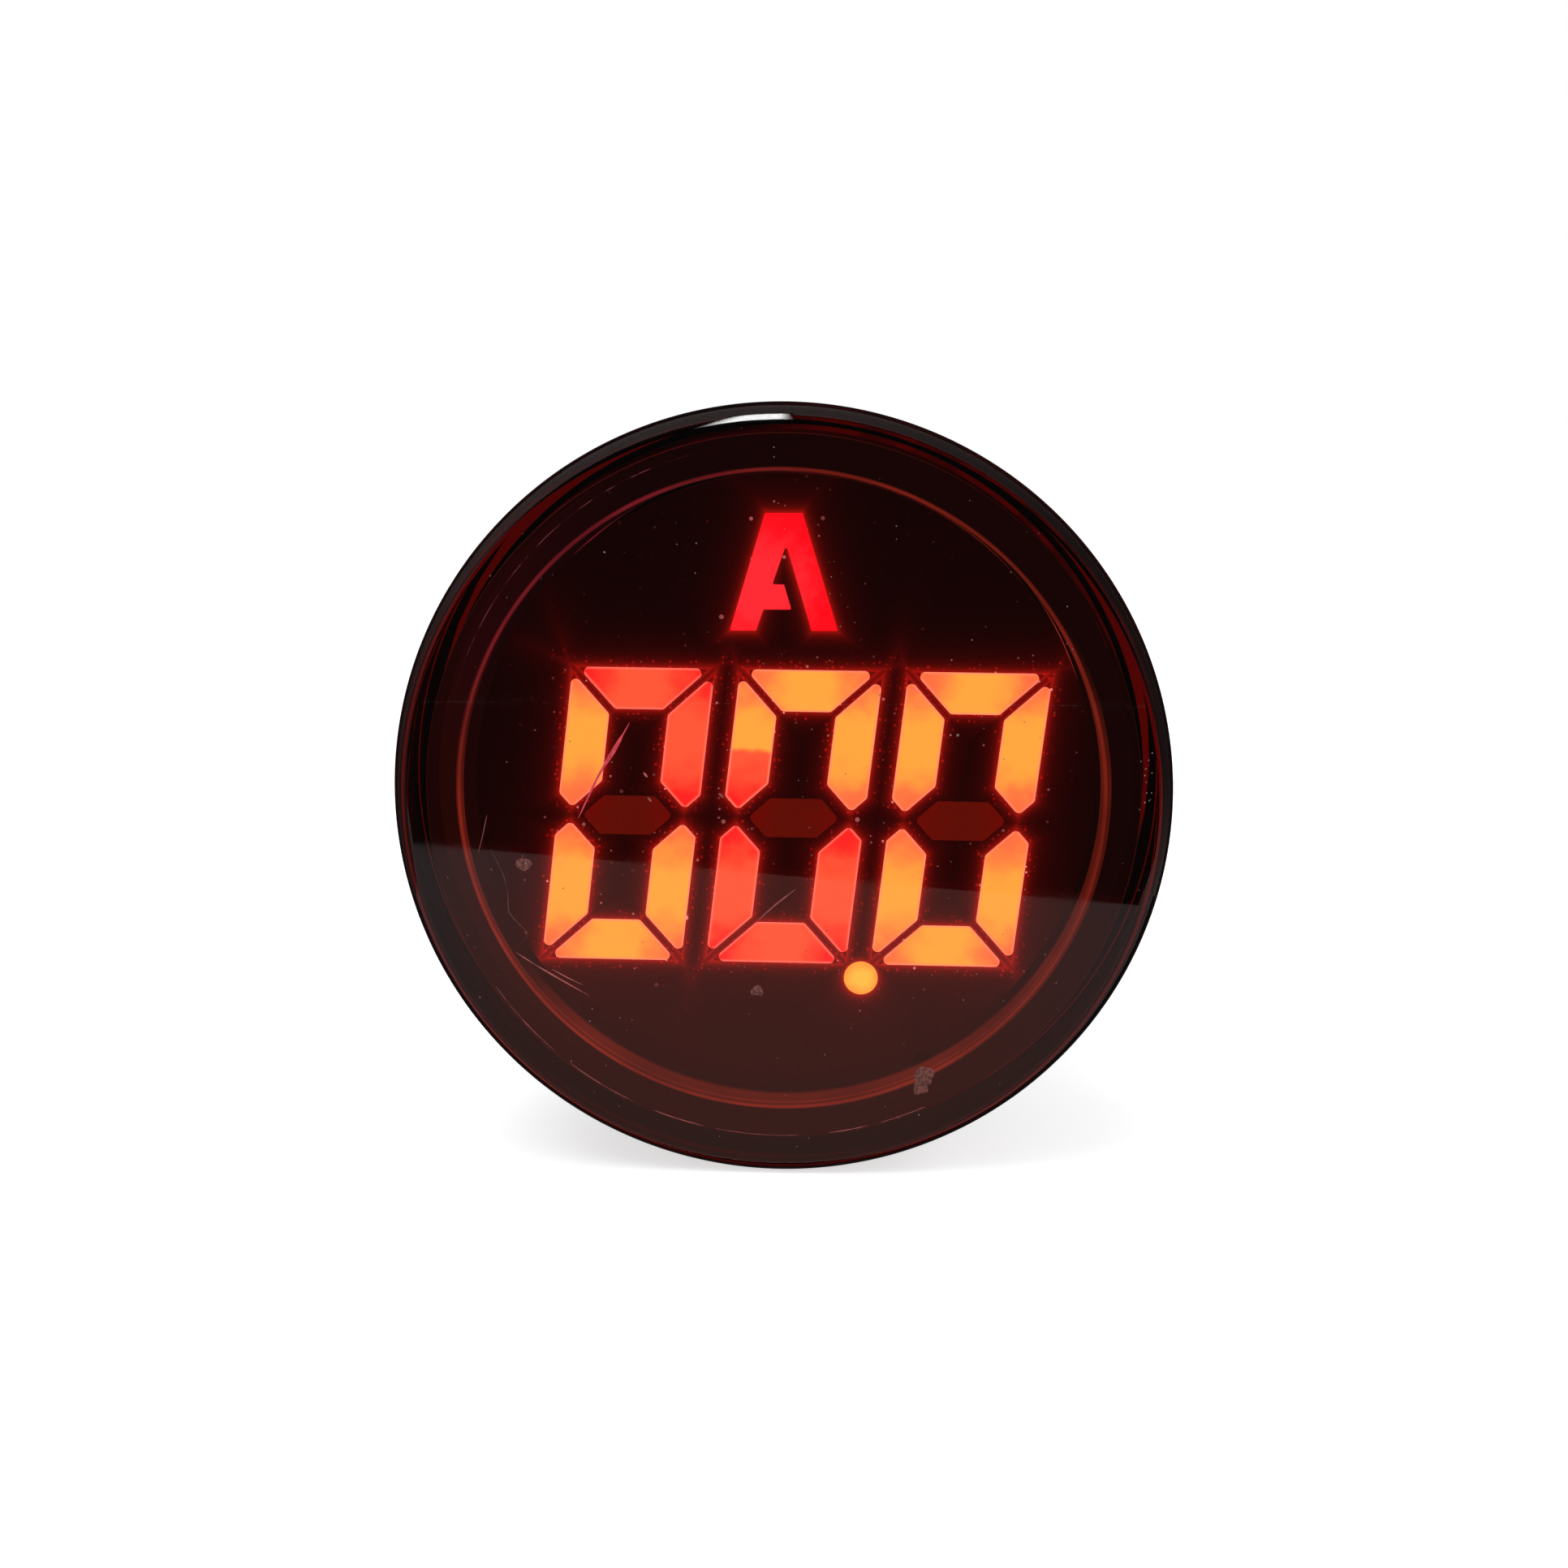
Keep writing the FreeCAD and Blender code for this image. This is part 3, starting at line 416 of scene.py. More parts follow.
class DigitLight:
    """Distances, in millimetres, from the lit parts of the display, for a finish's point. The point
    is turned and moved into the digit row, unslanted, and folded onto the nearest digit and its
    corner of +x and +z; a bar lies above the digit's 45 degree corner line and a post below it."""

    def __init__(self, finish):
        x, _, z = finish.where()
        dx, dz = x - DIGIT_ROW[0], z - DIGIT_ROW[1]
        cos, sin = math.cos(DIGIT_TILT), math.sin(DIGIT_TILT)
        v = dz * cos - dx * sin
        u = dx * cos + dz * sin - v * DIGIT_SLANT
        number = finish.math("ROUND", u / DIGIT_PITCH).most(-1.0).least(1.0)
        u = u - number * DIGIT_PITCH
        self.number, self.u, self.v = number, u, v
        self.across, self.up = u.size(), v.size()
        corner = (self.across - self.up + (DIGIT_HALF_HEIGHT - DIGIT_HALF_WIDTH)) / SQRT2
        self.corner = corner
        half = SEGMENT_WIDTH / 2
        bar = (self.up - (DIGIT_HALF_HEIGHT - half)).size() - half
        self.bar = bar.most(corner + MITRE_GAP / 2)
        post = (self.across - (DIGIT_HALF_WIDTH - half)).size() - half
        tip = (self.across - (DIGIT_HALF_WIDTH - TIP_INSET)).size() + TIP_Z - self.up
        self.post = post.most(MITRE_GAP / 2 - corner).most(tip / SQRT2)
        self.digits = self.bar.least(self.post)
        self.letter = self.letter_distance(x, z)
        self.point = distance_from(finish, x, z, POINT_CENTRE) - POINT_RADIUS
        self.all = self.digits.least(self.letter).least(self.point)

    def letter_distance(self, x, z):
        """Distance from the letter's two legs and its top, as from slanted bars."""
        up = z - LETTER_BASE_Z
        left = (x + LETTER_HALF_FOOT - up * LETTER_LEAN).size() - LETTER_HALF_STROKE
        right = (x - LETTER_HALF_FOOT + up * LETTER_LEAN).size() - LETTER_HALF_STROKE
        legs = left.least(right)
        ends = (up - LETTER_HEIGHT / 2).size() - LETTER_HEIGHT / 2
        return legs.most(ends)


def squared(number):
    """A number times itself."""
    return number * number


def distance_from(finish, x, z, centre):
    """How far a point lies from an axis along Y."""
    away_x, away_z = x - float(centre[0]), z - float(centre[1])
    return finish.math("SQRT", squared(away_x) + squared(away_z))


# How much the lens lets through, and how a colour behind it must shine to show as it should

LENS_TINT = (0.93, 0.62, 0.55)
LENS_PASSES = (0.48, 0.12, 0.085)


def behind_lens(red, green, blue):
    """The light, as plain numbers, that shows through the lens as a colour of 0 to 255."""
    shown = np.array([red, green, blue]) / 255.0
    plain = np.where(shown <= 0.04045, shown / 12.92, ((shown + 0.055) / 1.055) ** 2.4)
    return tuple(float(value) for value in plain / np.array(LENS_PASSES))


def lens_finish():
    """Clear smoked acrylic, with faint smears. Its volume takes -ln(share let through) / thickness
    of each colour away, once the surface's tint and its two reflections are counted."""
    finish = Finish("smoked_red_lens", LENS_TINT, 0.02, ior=1.49)
    finish.set(Transmission_Weight=1.0)
    volume = finish.add("ShaderNodeVolumeAbsorption")
    two_faces = 0.925
    passes = np.array(LENS_PASSES) / (np.array(LENS_TINT) * two_faces)
    loss = -np.log(passes) / (WINDOW_THICKNESS * MM)
    density = loss.max() * 1.05
    volume.inputs["Density"].default_value = float(density)
    volume.inputs["Color"].default_value = (*(1 - loss / density), 1.0)
    output = finish.nodes["Material Output"]
    finish.links.new(volume.outputs[0], output.inputs["Volume"])
    smears = finish.noise(3.0, 3.0, roughness=0.6)
    finish.set(Roughness=smears.ramp(0.45, 0.8, 0.012, 0.07))
    finish.bump(finish.noise(9.0, 1.0), 0.004, 0.4)
    return finish.material


def display_face_finish():
    """Glossy black with a painted glow round the lit parts that stands for their light leaking out and
    halves every near or wide reach away from them, red specks of painted glow close to the digits,
    and paler dust that shows only by the painted glow."""
    finish = Finish("display_black", (0.012, 0.004, 0.004), 0.22)
    light = DigitLight(finish)
    # Painted light: the glow round the digits, in the dust and in the red specks is emission worked out
    # from distance to the lit parts.
    near_reach, wide_reach = 0.085, 0.42
    near = finish.math("POWER", 0.5, light.all.most(0.0) / near_reach)
    wide = finish.math("POWER", 0.5, light.all.most(0.0) / wide_reach)
    grain = finish.noise(0.12, 3.0).ramp(0.3, 0.75, 0.92, 1.08)
    corner_shade = light.all.ramp(-0.05, 0.0, 0.3, 1.0)
    strength = (near * 0.62 * corner_shade + wide * 0.10) * grain + 0.010
    dust = finish.specks(0.42, 0.055, 0.16).most(finish.specks(1.3, 0.09, 0.25))
    dust = dust * light.all.ramp(0.4, 1.6, 1.0, 0.3)
    dust_painted_glow = (near * 0.7 + wide * 0.4 + 0.10) * finish.noise(0.8, 1.0).ramp(0.35, 0.65, 0.4, 1.3)
    colour = finish.mix(dust, behind_lens(190, 22, 14), behind_lens(235, 120, 115))
    crumbs_painted_glow = finish.specks(0.2, 0.062, 0.5) * light.digits.ramp(0.22, 0.5, 0.42, 0.0)
    finish.glow(colour, (strength + crumbs_painted_glow) * (1.0 - dust) + dust_painted_glow * dust)
    finish.set(Roughness=finish.noise(0.3, 3.0).ramp(0.3, 0.7, 0.2, 0.27))
    finish.bump(finish.noise(0.18, 2.0), 0.002, 0.3)
    return finish.material


def lit_finish(name, middle, ends, rim, below=None):
    """Diffusing resin over a light chip: bright in the middle, redder towards the ends, with a
    thin pale edge line. Where a second pair of colours is given, the segment's foot has them."""
    finish = Finish(name, (0.55, 0.2, 0.1), 0.3)
    light = DigitLight(finish)
    bar_reach, post_reach = 2.3, 2.6
    along_bar = light.across / bar_reach
    along_post = (light.up - POST_MIDDLE).size() / post_reach
    is_bar = light.corner.ramp(-0.02, 0.02, 1.0, 0.0)
    along = along_bar * is_bar + along_post * (1.0 - is_bar)
    cloud = finish.noise(0.9, 2.0).ramp(0.3, 0.7, -0.12, 0.12)
    share = (along + cloud).ramp(0.2, 0.95)
    edge = light.digits.ramp(-0.12, -0.01)
    colour = finish.mix(share, behind_lens(*middle), behind_lens(*ends))
    if below:
        foot = (light.v + cloud * 0.6).ramp(COLOUR_CHANGE_Z - 0.12, COLOUR_CHANGE_Z + 0.12, 1.0, 0.0)
        low_colour = finish.mix(share, behind_lens(*below[0]), behind_lens(*below[1]))
        colour = finish.mix(foot, colour, low_colour)
    colour = finish.mix(edge * 0.75, colour, behind_lens(*rim))
    finish.glow(colour, 1.0)
    return finish.material


def plain_lit_finish(name, middle, ends, centre, reach):
    """Diffusing resin that is brightest over its chip and redder away from it."""
    finish = Finish(name, (0.5, 0.1, 0.06), 0.3)
    x, _, z = finish.where()
    away = distance_from(finish, x, z, centre)
    cloud = finish.noise(0.5, 2.0).ramp(0.3, 0.7, -0.1, 0.1)
    share = (away / reach + cloud).ramp(0.3, 1.0)
    finish.glow(finish.mix(share, behind_lens(*middle), behind_lens(*ends)), 1.0)
    return finish.material


def unlit_finish():
    """Resin with no light of its own, with a dim painted glow that stands for light from its neighbours.
    """
    finish = Finish("segment_unlit", (0.12, 0.012, 0.008), 0.35)
    light = DigitLight(finish)
    share = (light.across / 1.9 + finish.noise(0.5, 2.0).ramp(0.3, 0.7, -0.2, 0.2)).ramp(0.2, 1.0)
    colour = finish.mix(share, behind_lens(90, 12, 3), behind_lens(102, 7, 2))
    # Painted glow: the unlit segment's light from its neighbours is emission.
    finish.glow(colour, 1.0)
    return finish.material


def black_plastic(name, shade=0.018, grain=0.14, roughness=(0.36, 0.55)):
    """Black moulding with a fine spark-eroded grain and faint pale scuffs."""
    finish = Finish(name, (shade, shade, shade * 1.05), 0.45)
    tone = finish.noise(2.6, 3.0).ramp(0.3, 0.7)
    colour = finish.mix(tone, (shade * 0.8,) * 3, (shade * 1.3,) * 3)
    rub = finish.noise(1.4, 5.0, stretch=(1.0, 0.35, 1.0), roughness=0.7).ramp(0.6, 0.75)
    finish.set(Base_Color=finish.mix(rub * 0.5, colour, (shade * 3.2,) * 3))
    finish.set(Roughness=finish.noise(0.9, 3.0).ramp(0.3, 0.7, *roughness))
    finish.bump(finish.noise(grain, 2.0), 0.02, 0.6)
    return finish.material


def behind_lens_finish():
    """The part of the black moulding that lies behind the lens, with painted light: the display's red
    light is painted as glow on the cup's rim, down the wall inside it, in two bands beside the lens's
    skirt and faintly all over, more to the left, and a painted highlight lies along a thin broken line."""
    finish = Finish("black_housing_inside", (0.003, 0.003, 0.003), 1.0)
    finish.set(Specular_IOR_Level=0.0)
    x, y, z = finish.where()
    radius = finish.math("SQRT", x * x + z * z)
    angle = finish.math("ARCTAN2", x, z)
    around = finish.noise(4.0, 2.0).ramp(0.3, 0.7, 0.75, 1.2)
    side = z.ramp(-2.0, 6.0, 0.95, 0.76)
    rim_centre = (-0.04, -0.06)
    rim_radius = distance_from(finish, x, z, rim_centre)
    rim = rim_radius.band(CUP_INNER + 0.06, CUP_INNER + 0.19, 0.045)
    rim = rim.most(z.ramp(0.0, 7.0, 0.42, 0.0)) * y.ramp(RIM_Y + 0.02, RIM_Y + 0.12, 1.0, 0.0)
    wall = radius.ramp(CUP_INNER + 0.01, CUP_INNER + 0.04, 1.0, 0.0)
    wall_side = x.ramp(3.0, 10.0).most(z.ramp(-9.5, -6.0, 1.0, 0.0))
    wall_side = wall_side * y.ramp(RIM_Y + 0.9, RIM_Y + 1.4, 1.0, 0.0) + 0.05
    flange = y.ramp(FLANGE_FRONT_Y - 0.3, FLANGE_FRONT_Y - 0.1)
    upper_right, upper_left = 0.65, -1.05
    right = (angle - upper_right).size().ramp(0.45, 0.8, 1.0, 0.0)
    left = (angle - upper_left).size().ramp(0.2, 0.6, 1.0, 0.0)
    glow_streaks = finish.noise(1.2, 3.0).ramp(0.35, 0.7, 0.5, 1.3)
    foot = angle.size().ramp(2.2, 2.7, 0.12, 0.36).most(x.ramp(-11.0, -7.0, 0.32, 0.12))
    bands = flange * ((right * 1.15 + left * 0.85) * glow_streaks + foot)
    # Painted highlight: a thin broken pale line near the cone's outer edge, at the upper left.
    broken = finish.noise(0.7, 2.0).ramp(0.45, 0.62, 0.1, 1.0)
    line = radius.band(CONE_OUTER - 0.31, CONE_OUTER - 0.28, 0.02) * (1.0 - flange)
    line = line * (angle + 0.75).size().ramp(0.3, 0.6, 1.0, 0.0) * broken
    red = rim * side * around * 0.95 + wall * wall_side * around * 0.42 + bands * 1.5
    plain = x.ramp(-6.0, 4.0).most(z.ramp(0.0, 7.0, 1.0, 0.0))
    tone = finish.mix(plain, behind_lens(120, 27, 35), behind_lens(122, 32, 20))
    colour = finish.mix(line.least(1.0), tone, behind_lens(150, 86, 82))
    # Painted light: a faint red glow all over, stronger to the left and weaker on the cup's wall.
    dim_glow = x.ramp(-12.5, -5.0, 0.085, 0.035) * (1.0 - wall * 0.6)
    finish.glow(colour, red + line * 0.45 + dim_glow)
    return finish.material


def rubber_finish():
    """Black rubber with a grey bloom."""
    finish = Finish("gasket_rubber", (0.02, 0.02, 0.02), 0.75)
    bloom = finish.noise(1.5, 4.0).ramp(0.35, 0.75)
    finish.set(Base_Color=finish.mix(bloom, (0.016, 0.016, 0.017), (0.045, 0.044, 0.042)))
    finish.set(Roughness=finish.noise(0.5, 2.0).ramp(0.3, 0.7, 0.65, 0.9))
    finish.bump(finish.noise(0.08, 3.0), 0.012, 0.5)
    return finish.material


def turned_metal(name, colour, dark, centre=(0, 0), roughness=(0.25, 0.45)):
    """Metal with fine rings round an axis along Y, and patches of tarnish."""
    finish = Finish(name, colour, 0.35, metallic=1.0)
    x, y, z = finish.where()
    radius = distance_from(finish, x, z, centre)
    marks = finish.noise(0.05, 2.0, at=finish.joined(radius, y, 0.0))
    tarnish = finish.noise(1.1, 4.0, roughness=0.6).ramp(0.4, 0.75)
    finish.set(Base_Color=finish.mix(tarnish, colour, dark))
    finish.set(Roughness=(marks * 0.5 + tarnish * 0.5).ramp(0.2, 0.8, *roughness))
    finish.bump(marks, 0.006, 0.35)
    return finish.material


def brass_finish():
    """Rolled brass with fine lines along x and brown tarnish."""
    finish = Finish("terminal_brass", (0.80, 0.58, 0.26), 0.32, metallic=1.0)
    tarnish = finish.noise(0.8, 5.0, roughness=0.65).ramp(0.42, 0.8)
    finish.set(Base_Color=finish.mix(tarnish, (0.83, 0.62, 0.30), (0.50, 0.33, 0.14)))
    rolled = finish.noise(0.06, 2.0, stretch=(0.08, 1.0, 1.0))
    finish.set(Roughness=(rolled * 0.5 + tarnish * 0.5).ramp(0.2, 0.8, 0.22, 0.5))
    finish.bump(rolled, 0.005, 0.4)
    return finish.material


def board_finish():
    """Green solder mask over copper tracks."""
    finish = Finish("board_green", (0.02, 0.13, 0.05), 0.35)
    x, _, _ = finish.where()
    tracks = finish.math("FRACT", (x + finish.noise(4.0, 0.0) * 3.0) / 1.1)
    track = tracks.band(0.3, 0.7, 0.05)
    finish.set(Base_Color=finish.mix(track, (0.012, 0.09, 0.03), (0.03, 0.19, 0.07)))
    finish.bump(track, 0.03, 0.6)
    return finish.material


def wear_finish(name, colour, other, grain):
    """Dull matter that lies on the lens: pale where it is thick and darker where it is thin."""
    finish = Finish(name, colour, 0.9)
    finish.set(Specular_IOR_Level=0.1)
    finish.set(Base_Color=finish.mix(finish.noise(grain, 3.0).ramp(0.35, 0.65), colour, other))
    finish.set(Roughness=finish.noise(grain * 2, 1.0).ramp(0.3, 0.7, 0.75, 1.0))
    return finish.material


def speckled(name, colour, other, roughness=0.4, grain=0.4):
    """A moulded or dipped coat with slightly uneven colour and surface."""
    finish = Finish(name, colour, roughness)
    finish.set(Base_Color=finish.mix(finish.noise(grain, 3.0).ramp(0.3, 0.7), colour, other))
    finish.set(Roughness=finish.noise(grain * 2, 3.0).ramp(0.3, 0.7, roughness * 0.8, roughness * 1.2))
    finish.bump(finish.noise(grain / 2, 2.0), 0.01, 0.5)
    return finish.material


# New pieces

def make_lens():
    """Clear cap: one closed outline turned about the axis, with its window, its skirt, the bead
    that snaps behind the head, and rounded edges."""
    inner = LENS_RADIUS - LENS_WALL
    window_rear = LENS_FACE_Y + WINDOW_THICKNESS
    face = LENS_FACE_Y + FACE_SINK
    rear = LENS_REAR_Y - 0.01
    line = rounded([
        (0, face, 0),
        (LENS_RADIUS, face, LENS_EDGE_RADIUS),
        (LENS_RADIUS, rear, 0.15),
        (inner, rear, 0.2),
        (inner, BEAD_Y + BEAD_HALF, 0.1),
        (inner - BEAD_HEIGHT, BEAD_Y, 0.12),
        (inner, BEAD_Y - BEAD_HALF, 0.1),
        (inner, window_rear, 0.06),
        (0, window_rear, 0),
    ], steps=8)
    angles = even_angles(288)
    return sheet_of(turned(*rings(line, angles), angles))


def on_face(path, width, height, steps=24):
    """A fine raised line on the lens's face: rows round a flat oval section, width * sqrt(1 - (2t -
    1)^2) wide at a share t of the way, carried along a smooth path through the points (x, z)."""
    path = np.array(path, float)
    length = np.concatenate([[0], np.cumsum(np.linalg.norm(np.diff(path, axis=0), axis=1))])
    t = (1 - np.cos(np.linspace(0, math.pi, steps))) / 2
    place = np.stack([np.interp(t * length[-1], length, path[:, axis]) for axis in (0, 1)], 1)
    if len(path) > 2:
        place[1:-1] = (place[:-2] + 2 * place[1:-1] + place[2:]) / 4
    along = np.gradient(place, axis=0)
    along /= np.linalg.norm(along, axis=1)[:, None]
    across = np.stack([-along[:, 1], along[:, 0]], 1)
    half = width / 2 * np.sqrt(np.maximum(1 - (2 * t - 1) ** 2, 0))
    turn = even_angles(6)[:-1, None]
    x = place[:, 0] + np.cos(turn) * half * across[:, 0]
    z = place[:, 1] + np.cos(turn) * half * across[:, 1]
    y = LENS_FACE_Y + FACE_SINK - np.sin(turn) * height * half / (width / 2)
    return sheet_of(np.stack([x, y, z], -1))


def blob_on_face(x, z, radius, height, seed):
    """A low dome on the lens's face with an uneven outline: its rows shrink by a cosine as they
    rise by a sine, and the outline is a circle plus three waves of random size and phase."""
    random = np.random.default_rng(seed)
    angles = even_angles(14)
    waves = np.arange(2, 5)[:, None]
    sizes, phases = random.uniform(0.04, 0.16, (3, 1)), random.uniform(0, TURN, (3, 1))
    outline = radius * (1 + (sizes * np.cos(waves * angles + phases)).sum(0))
    rise = np.linspace(0, math.pi / 2, 4)[:, None]
    reach = np.concatenate([0 * outline[None, :], outline * np.cos(rise)])
    level = np.concatenate([[[0.0]], np.sin(rise)]) * height
    y = LENS_FACE_Y + FACE_SINK - level + 0 * reach
    return sheet_of(np.stack([x + reach * np.cos(angles), y, z + reach * np.sin(angles)], -1), False)


def blobs(places, height):
    """Blobs of one height at places given as (x, z, radius), each with its own outline."""
    return joined([blob_on_face(*place, height, seed) for seed, place in enumerate(places)])


def make_scratches_and_highlight():
    """Fine scratches across the lens's face, and a faint broken pale line along the lower part of a circle
    x = r sin(angle), z = r cos(angle) just inside its edge, which is a painted highlight that stands for
    light along an edge inside the lens."""
    lines = [
        ([(-5.06, 0.98), (-4.92, 0.80)], 0.08),
        ([(-4.92, 0.05), (-4.78, -0.12)], 0.08),
        ([(-2.28, 0.22), (-2.10, 0.06)], 0.09),
        ([(-9.98, -5.91), (-9.3, -6.36), (-8.55, -6.81), (-7.21, -7.58)], 0.055),
        ([(-8.61, -6.56), (-8.0, -6.9), (-7.42, -7.17)], 0.04),
        ([(-10.93, -0.66), (-11.1, -1.4), (-11.30, -2.15)], 0.022),
        ([(0.59, -3.37), (-0.2, -4.0), (-0.86, -4.62)], 0.06),
    ]
    # Painted highlight: the broken arc is a pale line with the scratches' finish.
    circle_radius = 12.97
    arcs = [(236, 221), (218, 205), (202, 193), (191, 177), (172, 165), (163, 155)]
    for first, last in arcs:
        clockwise = np.radians(np.linspace(first, last, 9))
        circle = np.stack([np.sin(clockwise), np.cos(clockwise)], 1)
        lines.append((circle_radius * circle, 0.028))
    return joined([on_face(path, width, WEAR_HEIGHT) for path, width in lines])


def make_painted_light_scratch():
    """A longer scratch beside the first digit, coloured bright red as painted light from the digit."""
    path = [(-5.55, 2.85), (-6.15, 1.8), (-6.72, 0.90), (-7.2, -0.1), (-7.53, -0.79)]
    brighter = [(-5.8, 2.42), (-6.15, 1.8), (-6.6, 1.1)]
    return joined([on_face(path, 0.08, WEAR_HEIGHT), on_face(brighter, 0.16, 0.008)])


def make_hair():
    """A hair that lies in a loose curve by the left edge of the digits."""
    path = [(-10.81, -1.96), (-10.35, -2.98), (-10.21, -3.63), (-10.22, -4.35), (-9.98, -4.66),
            (-9.59, -5.06), (-9.50, -5.31), (-9.82, -5.63)]
    return on_face(path, 0.045, WEAR_HEIGHT, 40)


def make_spots():
    """Three dull spots on the lens's face, one of them double."""
    places = [(-9.60, -2.53, 0.27), (-0.87, -7.31, 0.22), (5.44, -10.52, 0.36), (5.30, -10.98, 0.30)]
    return blobs(places, 0.005)


def make_dust():
    """Dust on the lens's face: random places over the disc, radius R sqrt(random), a cluster by its
    right edge, and a few larger grains."""
    random = np.random.default_rng(7)
    count, near_edge = 150, 12
    reach = (LENS_RADIUS - LENS_EDGE_RADIUS - 0.1) * np.sqrt(random.uniform(0, 1, count))
    angle = random.uniform(0, TURN, count)
    size = random.uniform(0.012, 0.026, count)
    grains = np.stack([reach * np.cos(angle), reach * np.sin(angle), size], 1)
    edge_z = random.uniform(-1.6, 2.6, near_edge)
    edge_x = random.uniform(13.2, 13.7, near_edge)
    edge = np.stack([edge_x, edge_z, random.uniform(0.015, 0.03, near_edge)], 1)
    larger = np.array([(6.51, 2.45, 0.05), (-9.52, -2.49, 0.05), (-6.4, 9.1, 0.035), (9.2, 5.4, 0.03)])
    grains = np.concatenate([grains, edge, larger])
    return blobs(grains, 0.009)


def thread_line(crest, pitch, depth, crest_round, root_round, steps):
    """One turn of a 60 degree thread as (radius, distance along the axis): half a root, a flank
    that falls 1.732 for each unit along, a crest an eighth of the pitch wide, and the same back."""
    flank = depth / math.sqrt(3.0)
    crest_width = pitch / 8
    root_half = (pitch - crest_width) / 2 - flank
    root = crest - depth
    stations = np.cumsum([0, root_half, flank, crest_width, flank, root_half])
    line = rounded([
        (root, stations[0], 0),
        (root, stations[1], root_round),
        (crest, stations[2], crest_round),
        (crest, stations[3], crest_round),
        (root, stations[4], root_round),
        (root, stations[5], 0),
    ], steps=steps, support=0.0)
    keep = np.concatenate([[True], np.linalg.norm(np.diff(line, axis=0), axis=1) > 1e-6])
    return line[keep][:-1]


def thread_rows(line, pitch, angles, start, end):
    """Rows of radii and stations that follow a right-hand helix: each row's station falls by a
    pitch over one turn, so the profile is the same all along it. Rows end at start and end."""
    turns = int(math.ceil((end - start) / pitch)) + 2
    origin = math.floor(start / pitch)
    steps = (origin + np.arange(turns + 1))[:, None] * pitch + line[:, 1][None, :]
    y = steps.reshape(-1, 1) - pitch * (angles[None, :] / TURN) + pitch
    radius = np.tile(line[:, 0], turns + 1)[:, None] + 0 * y
    return radius, np.clip(y, start, end)


def make_housing():
    """Head cup, flange, spigot and threaded barrel as one closed outline turned about the axis;
    the barrel's rows follow the thread's helix and are cut by a run-in cone at the relief groove,
    an end chamfer, and two flats at |x| = the flat's distance, which is r = distance / |cos|."""
    angles = even_angles(216)
    groove_half = 0.41
    front = rounded([
        (BARREL_BORE, LEDGE_Y, 0.1),
        (CUP_INNER, LEDGE_Y, 0.1),
        (CUP_INNER, RIM_Y, 0.05),
        (CUP_INNER + CUP_RIM_WIDTH, RIM_Y, 0.05),
        (CONE_OUTER, CONE_END_Y, 0.1),
        (CONE_OUTER, BEAD_Y - groove_half, 0.05),
        (CONE_OUTER - 0.2, BEAD_Y, 0.05),
        (CONE_OUTER, BEAD_Y + groove_half, 0.05),
        (CONE_OUTER, FLANGE_FRONT_Y, 0.1),
        (FLANGE_RADIUS, FLANGE_FRONT_Y, 0.25),
        (FLANGE_RADIUS, FLANGE_REAR_Y, 0.4),
        (SEAT_GROOVE, FLANGE_REAR_Y, 0.05),
        (SEAT_GROOVE, 0, 0.03),
        (SPIGOT_RADIUS, 0, 0.08),
        (SPIGOT_RADIUS, SPIGOT_END_Y, 0.15),
        (THREAD_RELIEF, SPIGOT_END_Y, 0.2),
        (THREAD_RELIEF, THREAD_FRONT_Y, 0),
    ], steps=3)
    line = thread_line(THREAD_RADIUS, THREAD_PITCH, THREAD_DEPTH, 0.05, 0.12, 3)
    radius, y = thread_rows(line, THREAD_PITCH, angles, THREAD_FRONT_Y, BARREL_REAR_Y)
    radius = np.minimum(radius, THREAD_RELIEF + (y - THREAD_FRONT_Y))
    end_radius = THREAD_RADIUS - THREAD_DEPTH - 0.05
    radius = np.minimum(radius, end_radius + (BARREL_REAR_Y - y))
    radius = np.minimum(radius, BARREL_FLAT / np.maximum(np.abs(np.cos(angles)), 1e-6))
    rear = [(end_radius, BARREL_REAR_Y), (BARREL_BORE + 0.15, BARREL_REAR_Y),
            (BARREL_BORE, BARREL_REAR_Y - 0.15), (BARREL_BORE, LEDGE_Y + 0.1)]
    front_r, front_y = rings(front, angles)
    rear_r, rear_y = rings(rear, angles)
    all_r = np.concatenate([front_r, radius, rear_r])
    all_y = np.concatenate([front_y, y, rear_y])
    return sheet_of(turned(all_r, all_y, angles))


def nut_angles():
    """Angles round the nut, close together across each grip groove and wider between."""
    period = TURN / NUT_GRIPS
    half_groove = 0.062
    groove = np.linspace(-half_groove, half_groove, 13) + period / 2
    before = np.linspace(0, period / 2 - half_groove, 6)[:-1]
    after = np.linspace(period / 2 + half_groove, period, 6)[1:-1]
    one = np.concatenate([before, groove, after])
    all_angles = (one[None, :] + np.arange(NUT_GRIPS)[:, None] * period).reshape(-1)
    return np.concatenate([all_angles, [TURN]])


def nut_outline(angles):
    """The nut's outer radius at each angle: its own radius, or in a groove the near crossing of
    the ray with the groove's circle, c cos(d) - sqrt(g^2 - c^2 sin^2(d))."""
    period = TURN / NUT_GRIPS
    away = (angles + period / 2) % period - period / 2
    away = np.abs(np.abs(away) - period / 2)
    centre = NUT_RADIUS + NUT_GRIP_RADIUS - NUT_GRIP_DEPTH
    inside = NUT_GRIP_RADIUS ** 2 - (centre * np.sin(away)) ** 2
    near = centre * np.cos(away) - np.sqrt(np.maximum(inside, 0))
    return np.where(inside > 0, np.minimum(near, NUT_RADIUS), NUT_RADIUS)


